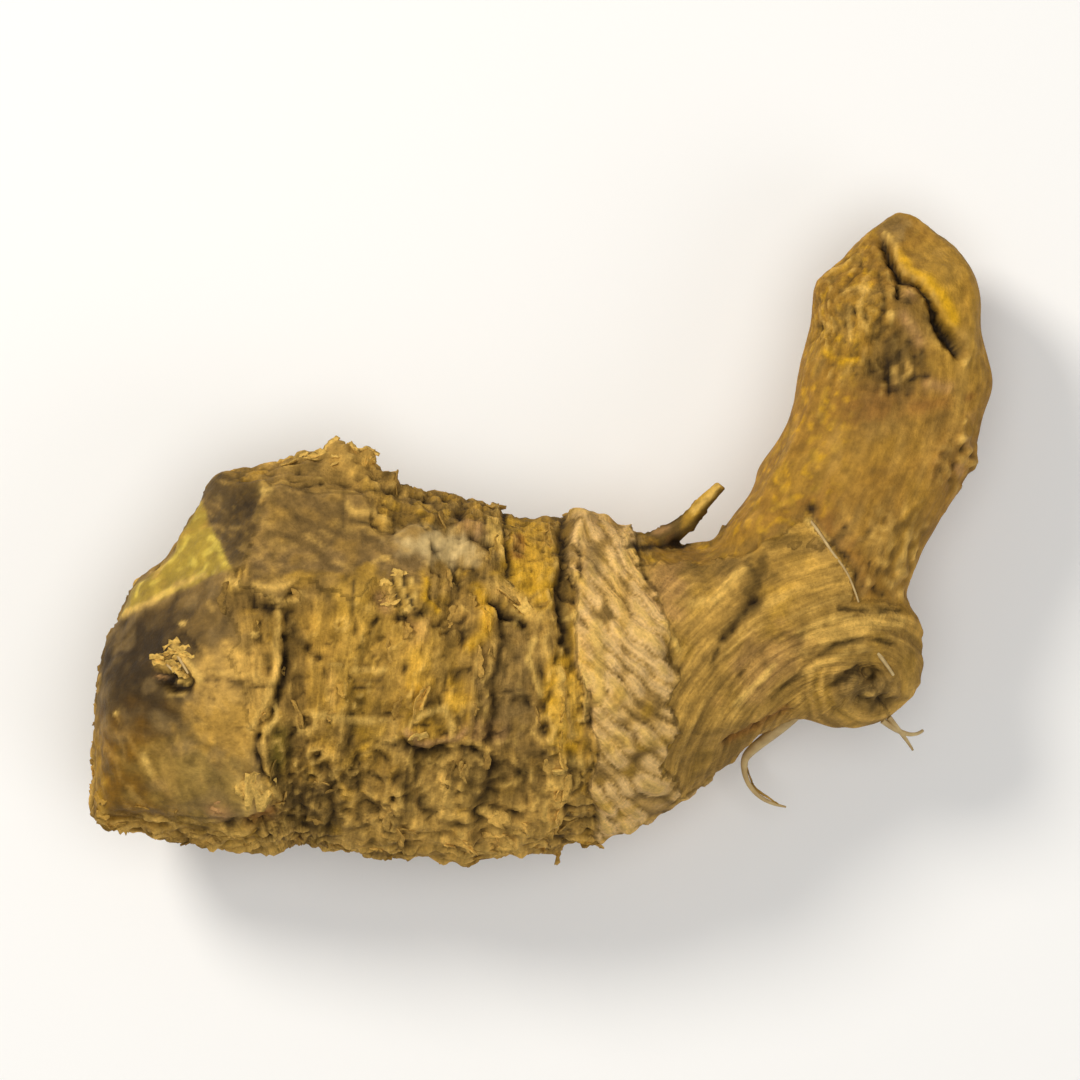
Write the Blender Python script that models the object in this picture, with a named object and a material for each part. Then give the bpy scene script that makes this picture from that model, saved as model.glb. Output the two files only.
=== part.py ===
"""A dried piece of mango ginger root: a stout ringed rhizome that narrows to a neck and turns up into one finger.

It is a single solid. The growth axis runs along +X through the stout body and bends to +Y in the finger,
so that +Z looks at the side that shows best. The knife marks, the split in the finger, the broken side shoot,
the knobs and the dried rootlet are cut into it or grown out of it. It stands on a flat cut underneath, at z = 0.
"""

import math
import random

import bmesh
import bpy
from mathutils import Matrix, Vector, noise

MM = 0.001

# Growth axis, in millimetres. Each station is one cross-section:
# x, y and height of its centre, its heading in plan in degrees, half its width and half its depth.
STATIONS_MM = (
    (-30.4, -13.4, 9.6, 0, 6.9, 4.8),
    (-28.9, -12.8, 9.4, 0, 7.3, 6.0),
    (-27.8, -12.3, 9.3, 0, 7.7, 6.7),
    (-26.0, -11.7, 9.2, 0, 8.7, 7.6),
    (-24.0, -10.6, 9.2, 0, 10.2, 8.4),
    (-22.0, -8.9, 9.2, 0, 12.0, 9.0),
    (-19.7, -8.3, 9.3, 0, 12.8, 9.2),
    (-15.5, -8.1, 9.1, -1, 13.0, 9.2),
    (-10.5, -9.0, 8.9, -3, 12.8, 9.2),
    (-5.0, -9.8, 8.6, -1, 12.0, 9.1),
    (0.0, -9.8, 8.4, 1, 11.0, 8.9),
    (4.0, -9.4, 8.3, 1, 10.2, 8.5),
    (7.5, -9.2, 8.5, 2, 8.7, 7.7),
    (10.0, -8.5, 8.8, 6, 7.8, 7.0),
    (13.4, -6.5, 9.0, 14, 6.7, 6.4),
    (15.7, -5.2, 9.2, 29, 6.5, 6.0),
    (17.3, -3.9, 9.3, 43, 6.4, 5.8),
    (18.9, -1.5, 9.3, 58, 6.2, 5.6),
    (21.0, 3.2, 9.1, 70, 6.2, 5.4),
    (22.6, 6.0, 8.9, 76, 6.3, 5.3),
    (23.8, 10.2, 8.5, 79, 6.5, 5.3),
    (24.1, 14.3, 8.0, 84, 6.1, 5.0),
    (24.1, 17.3, 7.7, 89, 5.1, 4.3),
    (24.0, 20.0, 7.4, 92, 3.1, 2.6),
    (24.0, 22.2, 7.2, 94, 1.2, 1.0),
)
BLUNT_END_MM = 2.5  # how far the stout end takes to reach its full width
TIP_MM = 2.0  # the same at the tip of the finger
BLUNTNESS = 2.4  # 2 is a round end, and more is squarer

# Leaf-scar rings: distance along the axis from the stout end, height and width, in millimetres.
RINGS_MM = (
    (14.4, 0.60, 0.8),
    (18.8, 0.65, 0.9),
    (23.8, 0.75, 0.9),
    (27.8, 0.70, 0.9),
    (32.8, 1.05, 0.8),
    (56.5, 0.25, 1.0),
    (64.0, 0.25, 1.3),
)
RING_GROOVE_SHARE = 0.9  # the groove beyond a ring is this much of its height
RING_GROOVE_AT_MM = 1.6
RING_SLANT_MM = 0.7  # how far a ring leans along the axis from one side to the other
RING_WAVER_MM = 1.0
RING_SIDE_SHARE = 0.35  # a ring is this much of its height at the two edges that the plan view shows

# The base of the last leaf, a collar that wraps the root where it narrows, and stands proud of the neck.
COLLAR_FROM_MM, COLLAR_TO_MM, COLLAR_HEIGHT_MM = 35.0, 40.9, 0.60
COLLAR_WAVER_MM = 1.3

# The skin between the rings.
LUMP_MM, LUMP_SIZE_MM = 0.45, 7.0
WRINKLE_MM, WRINKLE_ROUND_MM, WRINKLE_LONG_MM = 0.50, 2.4, 7.0
PUCKER_MM, PUCKER_SIZE_MM = 0.50, 2.2
FINGER_FROM_MM, FINGER_TO_MM = 43.0, 52.0  # where the rough body gives way to the smoother finger
FINGER_ROUGHNESS = 0.55

# Places that were rubbed smooth: a point, how far the rubbing reaches, and how much of the relief it took.
RUBBED = (
    (Vector((-26.5, -9.5, 13.0)), 5.5, 0.75),
    (Vector((-5.0, -8.5, 0.0)), 10.0, 0.90),
)

# Knobs where small roots and buds were: x, y, radius and height, in millimetres. Less than zero is a hollow.
KNOBS_MM = (
    (-15.8, 5.5, 1.0, 0.8),
    (-13.4, 6.0, 1.1, 1.5),
    (-11.4, 5.4, 0.9, 1.4),
    (-9.9, 4.3, 0.8, 0.8),
    (2.6, 1.9, 1.0, 1.2),
    (9.9, -17.3, 1.0, 0.7),
    (28.9, 5.1, 0.8, 0.6),
    (-29.4, -18.6, 1.0, 0.4),
    (-9.3, -5.3, 1.5, 0.6),
    (-18.9, -16.4, 1.2, 0.5),
    (-23.5, -8.2, 1.1, 0.5),
    (5.2, -16.2, 1.0, 0.5),
    (-3.4, -16.0, 1.1, 0.6),
    (24.2, 12.5, 1.9, -0.9),
    (19.2, 0.2, 1.6, -0.4),
)
SCARS_MM = (
    (-15.6, -12.2, 0.9, 0.5),
    (-15.2, -14.4, 0.8, 0.5),
    (-7.4, -13.3, 1.4, 0.7),
    (0.3, -12.6, 1.0, 0.6),
    (-22.0, -18.0, 1.0, 0.5),
    (-9.6, -17.2, 1.1, 0.5),
)
HIDDEN_SCARS = 34  # on the far side and underneath, where the roots grew
SCAR_RADII_MM = (0.8, 1.4)
SCAR_PIT_SHARE = 1.3  # a scar's pit is this much of its height
SCAR_SEED = 11

# Skin that still lies on the root and ends in a lifted edge: x, y and half sizes in plan, and how thick it is.
PLATES_MM = (
    (-20.6, -9.6, 3.1, 3.0, 0.35),
    (-11.0, -1.6, 1.6, 1.3, 0.25),
    (-3.0, -6.0, 1.4, 2.2, 0.25),
)

# Knife cuts. Each is a point on the cut, the way it faces, and its length and width, in millimetres.
KNIFE_CUTS_MM = {
    "chip": ((-21.2, -3.0, 16.7), (-0.64, 0.55, 0.54), 30, 20),
    "corner_trim": ((-20.6, 1.6, 14.9), (-0.38, 0.58, 0.72), 10, 12),
    "shoulder_slice": ((-11.0, 0.5, 15.3), (0.04, 0.54, 0.84), 34, 13),
}
KNIFE_BLOCK_HEIGHT_MM = 12.0
FOOT_CUT_MM = (-6.0, -8.6, 56.0, 36.0)  # the cut underneath: its middle, length and width

# The split in the skin of the finger, seen from above: x, y and half its width, in millimetres.
SPLIT_MM = (
    (23.1, 20.9, 0.15),
    (23.5, 18.6, 0.40),
    (24.4, 17.0, 0.55),
    (26.0, 16.2, 0.60),
    (27.0, 14.9, 0.55),
    (28.1, 12.9, 0.12),
)
SPLIT_DEPTH_MM = 2.0

# The side shoot that broke off where the finger bends away: rings round a dried-out eye.
SHOOT_FOOT_MM, SHOOT_FACE_MM = (18.8, -5.0, 5.0), (22.3, -9.2, 13.0)
SHOOT_PROFILE_MM = (  # radius, and distance from the face
    (0.0, -8.0),
    (2.6, -7.8),
    (4.2, -6.2),
    (5.1, -3.8),
    (5.2, -2.2),
    (4.8, -1.1),
    (4.2, -1.4),
    (3.8, -0.3),
    (3.2, -0.1),
    (2.8, -0.7),
    (2.3, 0.5),
    (1.5, 0.5),
    (1.0, -0.6),
    (0.7, -1.6),
    (0.0, -1.9),
)
SHOOT_STEPS = 36
SHOOT_WAVER_MM, SHOOT_WAVER_SIZE_MM = 0.9, 2.6

# The dried rootlets that are left: x, y, height and radius at points along them, in millimetres.
ROOTLET_MM = (
    (5.6, -1.6, 8.6, 1.00),
    (7.2, -0.4, 9.4, 0.90),
    (8.8, 0.3, 10.0, 0.78),
    (10.2, 1.3, 10.3, 0.70),
    (11.3, 2.6, 10.6, 0.64),
    (12.3, 3.7, 10.8, 0.55),
)
THREAD_MM = (
    (17.6, -10.6, 7.4, 0.42),
    (16.2, -12.4, 6.3, 0.34),
    (14.6, -13.8, 5.4, 0.32),
    (14.0, -15.4, 4.7, 0.31),
    (14.6, -17.0, 4.2, 0.31),
    (16.4, -18.2, 3.9, 0.31),
)
STRAND_SIDES = 8

SIDES, SLICES = 120, 168  # of the body as it is first laid out
SKIN_VOXEL_MM, SKIN_SOFTENING = 0.36, 1  # the size of the even skin's faces, and how often it is smoothed
THINNED_SHARE = 0.105  # of the even skin's faces that are kept
SLIVER_MM = 0.03  # shorter edges, which the cuts leave, are closed up

SKIN_COLOUR, SKIN_ROUGHNESS = (0.36, 0.22, 0.06, 1.0), 0.85


def clear_scene():
    for old in list(bpy.data.objects):
        bpy.data.objects.remove(old, do_unlink=True)


def eased(low, high, x):
    """0 below low, 1 above high, and a smooth step between them."""
    t = min(1.0, max(0.0, (x - low) / (high - low)))
    return t * t * (3.0 - 2.0 * t)


def bump(distance, width):
    return math.exp(-((distance / width) ** 2))


def station_at(index):
    """The station at a fractional index, on a Catmull-Rom spline through the table."""
    last = len(STATIONS_MM) - 1
    i = min(int(index), last - 1)
    t = index - i
    a, b, c, d = (STATIONS_MM[min(max(i + k, 0), last)] for k in (-1, 0, 1, 2))
    return [
        0.5 * (2 * q + (r - p) * t + (2 * p - 5 * q + 4 * r - s) * t**2 + (3 * q - p - 3 * r + s) * t**3)
        for p, q, r, s in zip(a, b, c, d)
    ]


class Section:
    """One cross-section of the rhizome: where it is, which way it faces and how large it is."""

    def __init__(self, index, along):
        x, y, z, heading, self.half_width, self.half_depth = station_at(index)
        turn = math.radians(heading)
        self.along = along
        self.centre = Vector((x, y, z))
        self.side = Vector((-math.sin(turn), math.cos(turn), 0.0))
        self.up = Vector((0.0, 0.0, 1.0))

    def outward(self, angle):
        """The way that an ellipse of this width and depth faces at the angle."""
        across, upward = math.cos(angle) / self.half_width, math.sin(angle) / self.half_depth
        return (self.side * across + self.up * upward).normalized()

    def on_ellipse(self, angle, share):
        across, upward = self.half_width * math.cos(angle), self.half_depth * math.sin(angle)
        return self.centre + (self.side * across + self.up * upward) * share


def sections(count):
    """Cross-sections evenly spaced by their distance along the axis, from end to end."""
    fine = [k * (len(STATIONS_MM) - 1) / 600 for k in range(601)]
    centres = [Vector(station_at(f)[:3]) for f in fine]
    lengths = [0.0]
    for before, after in zip(centres, centres[1:]):
        lengths.append(lengths[-1] + (after - before).length)
    found, k = [], 0
    for n in range(count + 1):
        along = lengths[-1] * n / count
        while k < len(fine) - 2 and lengths[k + 1] < along:
            k += 1
        share = (along - lengths[k]) / (lengths[k + 1] - lengths[k])
        found.append(Section(fine[k] + share * (fine[k + 1] - fine[k]), along))
    return found


def end_share(along, total):
    """How much of its full width a section has reached, where the ends close."""
    nearest = min(along / BLUNT_END_MM, (total - along) / TIP_MM, 1.0)
    return max(0.0, 1.0 - (1.0 - nearest) ** BLUNTNESS) ** (1.0 / BLUNTNESS)


def ring_relief(along, angle):
    """Raised leaf-scar rings, each with a groove beyond it. They slant and waver round the root."""
    slant = RING_SLANT_MM * math.cos(angle)
    edge = RING_SIDE_SHARE + (1.0 - RING_SIDE_SHARE) * abs(math.sin(angle))
    total = 0.0
    for n, (at, height, width) in enumerate(RINGS_MM):
        spot = Vector((2.0 * math.cos(angle), 2.0 * math.sin(angle), 5.0 * n))
        off = along - at - slant - RING_WAVER_MM * noise.noise(spot)
        strength = edge * height * (0.8 + 0.6 * noise.noise(spot * 1.7))
        total += strength * bump(off, width)
        total -= strength * RING_GROOVE_SHARE * bump(off - RING_GROOVE_AT_MM, width)
    return total


def collar_relief(along, angle):
    waver = noise.noise(Vector((3.0 * math.cos(angle), 3.0 * math.sin(angle), 40.0)))
    along -= COLLAR_WAVER_MM * waver
    rise = eased(COLLAR_FROM_MM - 1.2, COLLAR_FROM_MM + 0.8, along)
    return COLLAR_HEIGHT_MM * rise * (1.0 - eased(COLLAR_TO_MM - 0.2, COLLAR_TO_MM + 0.3, along))


def skin_relief(along, angle, girth, point):
    """Wrinkles that run along the root, and puckers, in millimetres."""
    calm = 1.0 - (1.0 - FINGER_ROUGHNESS) * eased(FINGER_FROM_MM, FINGER_TO_MM, along)
    round_root = Vector((math.cos(angle), math.sin(angle), 0.0)) * (girth / WRINKLE_ROUND_MM)
    wrinkle = noise.noise(round_root + Vector((0.0, 0.0, along / WRINKLE_LONG_MM)))
    pucker = noise.noise(point / PUCKER_SIZE_MM)
    ridged = 0.4 - abs(wrinkle) * 2.0
    return calm * (WRINKLE_MM * ridged + PUCKER_MM * pucker)


def left_by_rubbing(point):
    share = 1.0
    for middle, reach, taken in RUBBED:
        share *= 1.0 - taken * bump((point - middle).length, reach)
    return share


def plate_relief(point):
    if point.z < 8.0:
        return 0.0
    total = 0.0
    for x, y, half_x, half_y, thick in PLATES_MM:
        away = math.hypot((point.x - x) / half_x, (point.y - y) / half_y)
        total += thick * (1.0 - eased(0.85, 1.15, away + 0.25 * noise.noise(point)))
    return total


def scar_places(bare):
    """(point, radius, height, pit) of each knob and root scar, on the body before its relief is raised."""
    def seen_from_above(x, y):
        tops = (v.co for v in bare if v.co.z > 8.0)
        return min(tops, key=lambda co: (co.xy - Vector((x, y))).length - 0.05 * co.z).copy()

    places = [(seen_from_above(x, y), radius, height, 0.0) for x, y, radius, height in KNOBS_MM]
    for x, y, radius, height in SCARS_MM:
        places.append((seen_from_above(x, y), radius, height, SCAR_PIT_SHARE))
    rng = random.Random(SCAR_SEED)
    hidden = [v for v in bare if v.co.z < 9.0 and -28.0 < v.co.x and v.co.y < 8.0]
    for _ in range(HIDDEN_SCARS):
        spot = rng.choice(hidden).co.copy()
        radius = rng.uniform(*SCAR_RADII_MM)
        places.append((spot, radius, radius * 0.55, rng.choice((0.0, SCAR_PIT_SHARE))))
    return places


def scar_relief(point, places):
    total = 0.0
    for spot, radius, height, pit in places:
        away = (point - spot).length / radius
        if away < 2.5:
            total += height * (bump(away, 1.0) * (1.0 + 0.4 * pit) - pit * bump(away, 0.45))
    return total


def mesh_object(name, bm, scale=1.0):
    bmesh.ops.recalc_face_normals(bm, faces=bm.faces)
    bmesh.ops.scale(bm, verts=bm.verts, vec=(scale,) * 3)
    mesh = bpy.data.meshes.new(name)
    bm.to_mesh(mesh)
    bm.free()
    made = bpy.data.objects.new(name, mesh)
    bpy.context.scene.collection.objects.link(made)
    return made


def ringed_body():
    """A sphere whose poles become the two ends, and whose parallels become the cross-sections."""
    bm = bmesh.new()
    bmesh.ops.create_uvsphere(bm, u_segments=SIDES, v_segments=SLICES, radius=1.0)
    cuts = sections(SLICES)
    total = cuts[-1].along
    grown = []
    for vert in bm.verts:
        row = round(math.acos(max(-1.0, min(1.0, vert.co.z))) / math.pi * SLICES)
        angle = math.atan2(vert.co.y, vert.co.x)
        grown.append((vert, cuts[row], angle, end_share(cuts[row].along, total)))
    for vert, section, angle, share in grown:
        vert.co = section.on_ellipse(angle, share)
    places = scar_places(bm.verts)
    raised = []
    for vert, section, angle, share in grown:
        girth = (section.half_width + section.half_depth) / 2
        height = ring_relief(section.along, angle) + collar_relief(section.along, angle)
        height += skin_relief(section.along, angle, girth, vert.co)
        height *= left_by_rubbing(vert.co) * eased(0.0, 0.6, share)
        height += LUMP_MM * noise.fractal(vert.co / LUMP_SIZE_MM, 1.0, 2.0, 2)
        height += plate_relief(vert.co) + scar_relief(vert.co, places)
        raised.append(vert.co + section.outward(angle) * height)
    for (vert, *_), place in zip(grown, raised):
        vert.co = place
    return mesh_object("rhizome", bm, MM)


def side_shoot():
    """The broken shoot: a profile spun about its own axis, wavered, and laid from its foot to its face."""
    foot, face = Vector(SHOOT_FOOT_MM), Vector(SHOOT_FACE_MM)
    bm = bmesh.new()
    verts = [bm.verts.new((radius, 0.0, height)) for radius, height in SHOOT_PROFILE_MM]
    edges = [bm.edges.new(pair) for pair in zip(verts, verts[1:])]
    bmesh.ops.spin(bm, geom=verts + edges, cent=(0, 0, 0), axis=(0, 0, 1), angle=math.tau,
                   steps=SHOOT_STEPS, use_merge=True)
    bmesh.ops.remove_doubles(bm, verts=bm.verts, dist=0.001)
    for vert in bm.verts:
        waver = SHOOT_WAVER_MM * noise.noise(vert.co / SHOOT_WAVER_SIZE_MM)
        vert.co += Vector((vert.co.x, vert.co.y, 2.0)).normalized() * waver
    turn = (face - foot).to_track_quat("Z", "Y").to_matrix()
    bmesh.ops.rotate(bm, verts=bm.verts, matrix=turn)
    bmesh.ops.translate(bm, verts=bm.verts, vec=face)
    return mesh_object("side_shoot", bm, MM)


def loft(name, rings):
    """A closed tube through rings of points, filled at both ends."""
    bm = bmesh.new()
    loops = []
    for ring in rings:
        verts = [bm.verts.new(point) for point in ring]
        loops.append([bm.edges.new(pair) for pair in zip(verts, verts[1:] + verts[:1])])
    for before, after in zip(loops, loops[1:]):
        bmesh.ops.bridge_loops(bm, edges=before + after)
    for end in (loops[0], loops[-1]):
        bmesh.ops.contextual_create(bm, geom=end)
    return mesh_object(name, bm, MM)


def strand(name, stations):
    """A round strand through its points, with blunt ends. The first of them is inside what it grows from."""
    points = [Vector(row[:3]) for row in stations]
    rings = []
    for n, (point, row) in enumerate(zip(points, stations)):
        ahead = points[min(n + 1, len(points) - 1)] - points[max(n - 1, 0)]
        turn = ahead.to_track_quat("Z", "Y").to_matrix()
        rings.append([
            point + turn @ Vector((math.cos(a), math.sin(a), 0.0)) * row[3]
            for a in (math.tau * k / STRAND_SIDES for k in range(STRAND_SIDES))
        ])
    return loft(name, rings)


def knife_block(name, point, facing, length, width):
    """A block whose lower face is the cut: it takes away what lies beyond the point, the way the cut faces."""
    bm = bmesh.new()
    bmesh.ops.create_cube(bm, size=1.0)
    bmesh.ops.translate(bm, verts=bm.verts, vec=(0.0, 0.0, 0.5))
    bmesh.ops.scale(bm, verts=bm.verts, vec=(length, width, KNIFE_BLOCK_HEIGHT_MM))
    normal = Vector(facing).normalized()
    along = (Vector((1.0, 0.0, 0.0)) - normal * normal.x).normalized()
    turn = Matrix((along, normal.cross(along), normal)).transposed()
    bmesh.ops.rotate(bm, verts=bm.verts, matrix=turn)
    bmesh.ops.translate(bm, verts=bm.verts, vec=point)
    return mesh_object(name, bm, MM)


def foot_block():
    x, y, length, width = FOOT_CUT_MM
    return knife_block("foot_cut", (x, y, 0.0), (0.0, 0.0, -1.0), length, width)


def split_blade(body):
    """A wedge along the split. Its thin edge is at the split's depth, and its back is as far above the skin."""
    rings = []
    for x, y, half in SPLIT_MM:
        across = Vector((0.75, 0.66, 0.0)) * half * 2.0
        _, skin, _, _ = body.ray_cast(Vector((x, y, 50.0)) * MM, (0.0, 0.0, -1.0))
        down = Vector((0.0, 0.0, SPLIT_DEPTH_MM))
        middle = skin / MM
        rings.append((middle + down - across, middle + down + across, middle - down))
    return loft("split_blade", rings)


def apply_modifiers(obj):
    bpy.context.view_layer.update()
    graph = bpy.context.evaluated_depsgraph_get()
    finished = bpy.data.meshes.new_from_object(obj.evaluated_get(graph))
    obj.modifiers.clear()
    obj.data = finished


def boolean(body, operation, tools):
    """Cuts or joins the tools in one step, applies it, and removes them."""
    group = bpy.data.collections.new(operation.lower())
    bpy.context.scene.collection.children.link(group)
    for tool in tools:
        group.objects.link(tool)
    step = body.modifiers.new(operation.lower(), "BOOLEAN")
    step.operation = operation
    step.operand_type = "COLLECTION"
    step.collection = group
    step.solver = "EXACT"
    apply_modifiers(body)
    for tool in tools:
        bpy.data.objects.remove(tool, do_unlink=True)
    bpy.data.collections.remove(group)


def grow_together(body):
    """Gives the joined shapes one even skin, softened where they meet, and thins it."""
    skin = body.modifiers.new("skin", "REMESH")
    skin.mode = "VOXEL"
    skin.voxel_size = SKIN_VOXEL_MM * MM
    soft = body.modifiers.new("soft", "SMOOTH")
    soft.factor = 0.5
    soft.iterations = SKIN_SOFTENING
    thin = body.modifiers.new("thin", "DECIMATE")
    thin.ratio = THINNED_SHARE
    thin.use_collapse_triangulate = True
    apply_modifiers(body)


def close_slivers(body):
    """Closes up the shortest edges and the thinnest faces, and splits the flat faces into triangles."""
    bm = bmesh.new()
    bm.from_mesh(body.data)
    bmesh.ops.triangulate(bm, faces=bm.faces)
    bmesh.ops.remove_doubles(bm, verts=bm.verts, dist=SLIVER_MM * MM)
    bmesh.ops.dissolve_degenerate(bm, dist=SLIVER_MM * MM, edges=bm.edges)
    bmesh.ops.triangulate(bm, faces=bm.faces)
    bm.to_mesh(body.data)
    bm.free()


def dried_skin():
    material = bpy.data.materials.new("dried_rhizome_skin")
    material.use_nodes = True
    shader = material.node_tree.nodes["Principled BSDF"]
    shader.inputs["Base Color"].default_value = SKIN_COLOUR
    shader.inputs["Roughness"].default_value = SKIN_ROUGHNESS
    shader.inputs["Metallic"].default_value = 0.0
    return material


def main():
    clear_scene()
    rhizome = ringed_body()
    boolean(rhizome, "UNION", [side_shoot()])
    grow_together(rhizome)
    boolean(rhizome, "UNION", [strand("rootlet", ROOTLET_MM), strand("thread", THREAD_MM)])
    knives = [knife_block(name, *cut) for name, cut in KNIFE_CUTS_MM.items()]
    boolean(rhizome, "DIFFERENCE", [*knives, foot_block(), split_blade(rhizome)])
    close_slivers(rhizome)
    rhizome.data.materials.clear()
    rhizome.data.materials.append(dried_skin())
    rhizome.data.shade_flat()


main()
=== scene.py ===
# %% [markdown]
# A dried piece of mango ginger root. The real thing is one rhizome: a stout ringed body, the base of its
# last leaf wrapped round a neck, and one smooth finger that turns away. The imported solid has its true
# size and its main forms, at the coarseness of a carved block. This lesson gives it the skin: the solid
# is remeshed finely, sculpted by formulas that follow the way the root grew, painted the same way, and
# dressed with the loose flakes and hair roots that no height field can make.

# %% Load the frame
import math
import random

import bmesh
import bpy
import numpy as np
from mathutils import Matrix, Vector, noise


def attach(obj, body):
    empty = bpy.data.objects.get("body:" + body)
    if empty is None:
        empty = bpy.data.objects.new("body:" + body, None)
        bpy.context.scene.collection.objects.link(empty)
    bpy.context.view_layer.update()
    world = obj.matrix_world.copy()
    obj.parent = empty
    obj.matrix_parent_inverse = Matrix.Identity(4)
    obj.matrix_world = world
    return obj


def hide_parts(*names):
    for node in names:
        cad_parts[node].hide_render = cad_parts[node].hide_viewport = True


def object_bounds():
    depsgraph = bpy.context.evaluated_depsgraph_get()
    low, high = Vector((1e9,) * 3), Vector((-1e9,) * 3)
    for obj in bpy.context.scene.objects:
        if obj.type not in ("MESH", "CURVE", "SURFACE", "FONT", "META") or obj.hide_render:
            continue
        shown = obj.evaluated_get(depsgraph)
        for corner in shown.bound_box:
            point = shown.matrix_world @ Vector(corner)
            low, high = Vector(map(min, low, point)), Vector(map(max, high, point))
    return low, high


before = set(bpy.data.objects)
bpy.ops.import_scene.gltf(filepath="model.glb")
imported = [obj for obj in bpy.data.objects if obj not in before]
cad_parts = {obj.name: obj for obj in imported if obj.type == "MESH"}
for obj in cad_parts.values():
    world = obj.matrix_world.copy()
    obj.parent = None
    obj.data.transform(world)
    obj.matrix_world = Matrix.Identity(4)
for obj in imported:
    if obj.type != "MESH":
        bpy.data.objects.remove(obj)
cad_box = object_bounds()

MM = 0.001
BODY, SLOT, NODE = "root", "dried_rhizome_skin", "rhizome"
print("solid:", [round(v / MM, 2) for corner in cad_box for v in corner], "mm")

# %% [markdown]
# Every formula below is written in millimetres and works on whole arrays of points at once, because the
# skin has about a hundred thousand of them. Three small helpers carry nearly all of it: a smooth step, a
# round bump and seeded noise of a given lump size. Blender's own noise gives the same values on every
# run.

# %% Helpers for whole arrays
def eased(low, high, x):
    """0 below low, 1 above high, and a smooth step between."""
    t = np.clip((x - low) / (high - low), 0.0, 1.0)
    return t * t * (3.0 - 2.0 * t)


def bump(distance, width):
    return np.exp(-((distance / width) ** 2))


def lumps(points, size, seed=0):
    """Noise from about -1 to 1 with lumps of this size in mm. Three sizes give lumps that are drawn out."""
    shifted = points / np.array(size) + 7.31 * seed
    return np.array([noise.noise(p) for p in shifted.tolist()]) * 1.6


def from_line(points, line):
    """How far each point is from a line through these places, in plan or in space."""
    return np.linalg.norm(points - nearest_on(points, line), axis=1)


def nearest_on(points, line):
    """The place nearest to each point on a line through these places."""
    found, least = np.zeros_like(points), np.full(len(points), np.inf)
    for start, end in zip(np.array(line), np.array(line)[1:]):
        run = end - start
        share = np.clip((points - start) @ run / max(run @ run, 1e-9), 0.0, 1.0)
        place = start + share[:, None] * run
        far = np.linalg.norm(points - place, axis=1)
        found[far < least] = place[far < least]
        least = np.minimum(least, far)
    return found


def flakes(points, size, seed=0):
    """Cells like broken skin: a number from 0 to 1 for each, and how far a point is from its cell's edge."""
    shifted = points / np.array(size) + 5.17 * seed
    found = [noise.voronoi(p) for p in shifted.tolist()]
    inside = np.array([near[1] - near[0] for near, _ in found])
    shade = np.array([noise.cell(spots[0] * 9.0) for _, spots in found])
    return shade, inside


print("half way up a step:", float(eased(0.0, 1.0, 0.5)))

# %% [markdown]
# The skin starts as a copy of the solid's mesh. The solid's mesh is loose triangles, so its doubles are
# merged first. A voxel remesh then gives even faces about a quarter of a millimetre wide, small enough
# for wrinkles, and a little smoothing takes the carved facets away while it leaves the forms where the
# solid has them.

# %% Remesh a copy of the solid
SKIN_FACE_MM = 0.256
SMOOTHING_ROUNDS = 11


def evaluated_copy(obj):
    bpy.context.view_layer.update()
    graph = bpy.context.evaluated_depsgraph_get()
    return bpy.data.meshes.new_from_object(obj.evaluated_get(graph))


def fine_copy(node, name):
    bm = bmesh.new()
    bm.from_mesh(node.data)
    bmesh.ops.remove_doubles(bm, verts=bm.verts, dist=1e-6)
    mesh = bpy.data.meshes.new(name)
    bm.to_mesh(mesh)
    bm.free()
    made = bpy.data.objects.new(name, mesh)
    bpy.context.scene.collection.objects.link(made)
    fine = made.modifiers.new("even faces", "REMESH")
    fine.mode = "VOXEL"
    fine.voxel_size = SKIN_FACE_MM * MM
    soft = made.modifiers.new("no facets", "SMOOTH")
    soft.factor = 0.5
    soft.iterations = SMOOTHING_ROUNDS
    finished = evaluated_copy(made)
    made.modifiers.clear()
    made.data = finished
    return made


root_skin = fine_copy(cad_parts[NODE], "root_skin")
mesh = root_skin.data
print("skin:", len(mesh.vertices), "points,", len(mesh.polygons), "faces")


# %% Read and write its points as arrays
def points_of(mesh):
    flat = np.empty(len(mesh.vertices) * 3)
    mesh.vertices.foreach_get("co", flat)
    return flat.reshape(-1, 3) / MM


def normals_of(mesh):
    flat = np.empty(len(mesh.vertices) * 3)
    mesh.vertex_normals.foreach_get("vector", flat)
    return flat.reshape(-1, 3)


def move_points(mesh, points):
    mesh.vertices.foreach_set("co", (points * MM).ravel())
    mesh.update()


ends = np.empty(len(mesh.edges) * 2, dtype=np.int64)
mesh.edges.foreach_get("vertices", ends)
ends = ends.reshape(-1, 2)
valence = np.bincount(ends.ravel(), minlength=len(mesh.vertices))


def spread(values, rounds):
    """Each value drawn towards the mean of its neighbours, this many times over."""
    for _ in range(rounds):
        total = np.bincount(ends[:, 0], values[ends[:, 1]], len(valence))
        total += np.bincount(ends[:, 1], values[ends[:, 0]], len(valence))
        values = 0.5 * values + 0.5 * total / valence
    return values


def hollowness(points, normals, rounds):
    """How far each point lies below the skin round it, in mm: over 0 in a groove, under 0 on a crest."""
    mean = np.stack([spread(points[:, k], rounds) for k in range(3)], axis=1)
    return ((mean - points) * normals).sum(axis=1)


print("neighbours of a point, on average:", round(float(valence.mean()), 1))

# %% [markdown]
# The piece was cut with a knife before it was dried: a chip off the stout end, a trim at its corner, a
# long slice along the shoulder and the flat underneath. A cut is nearly flat and shows the flesh, so the
# relief stays off it and it gets a finish of its own. Each cut is known by a point on it and the way it
# faces, as in the solid. The chip has kept its fresh colour only above a line where the end's old skin
# begins.

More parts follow.
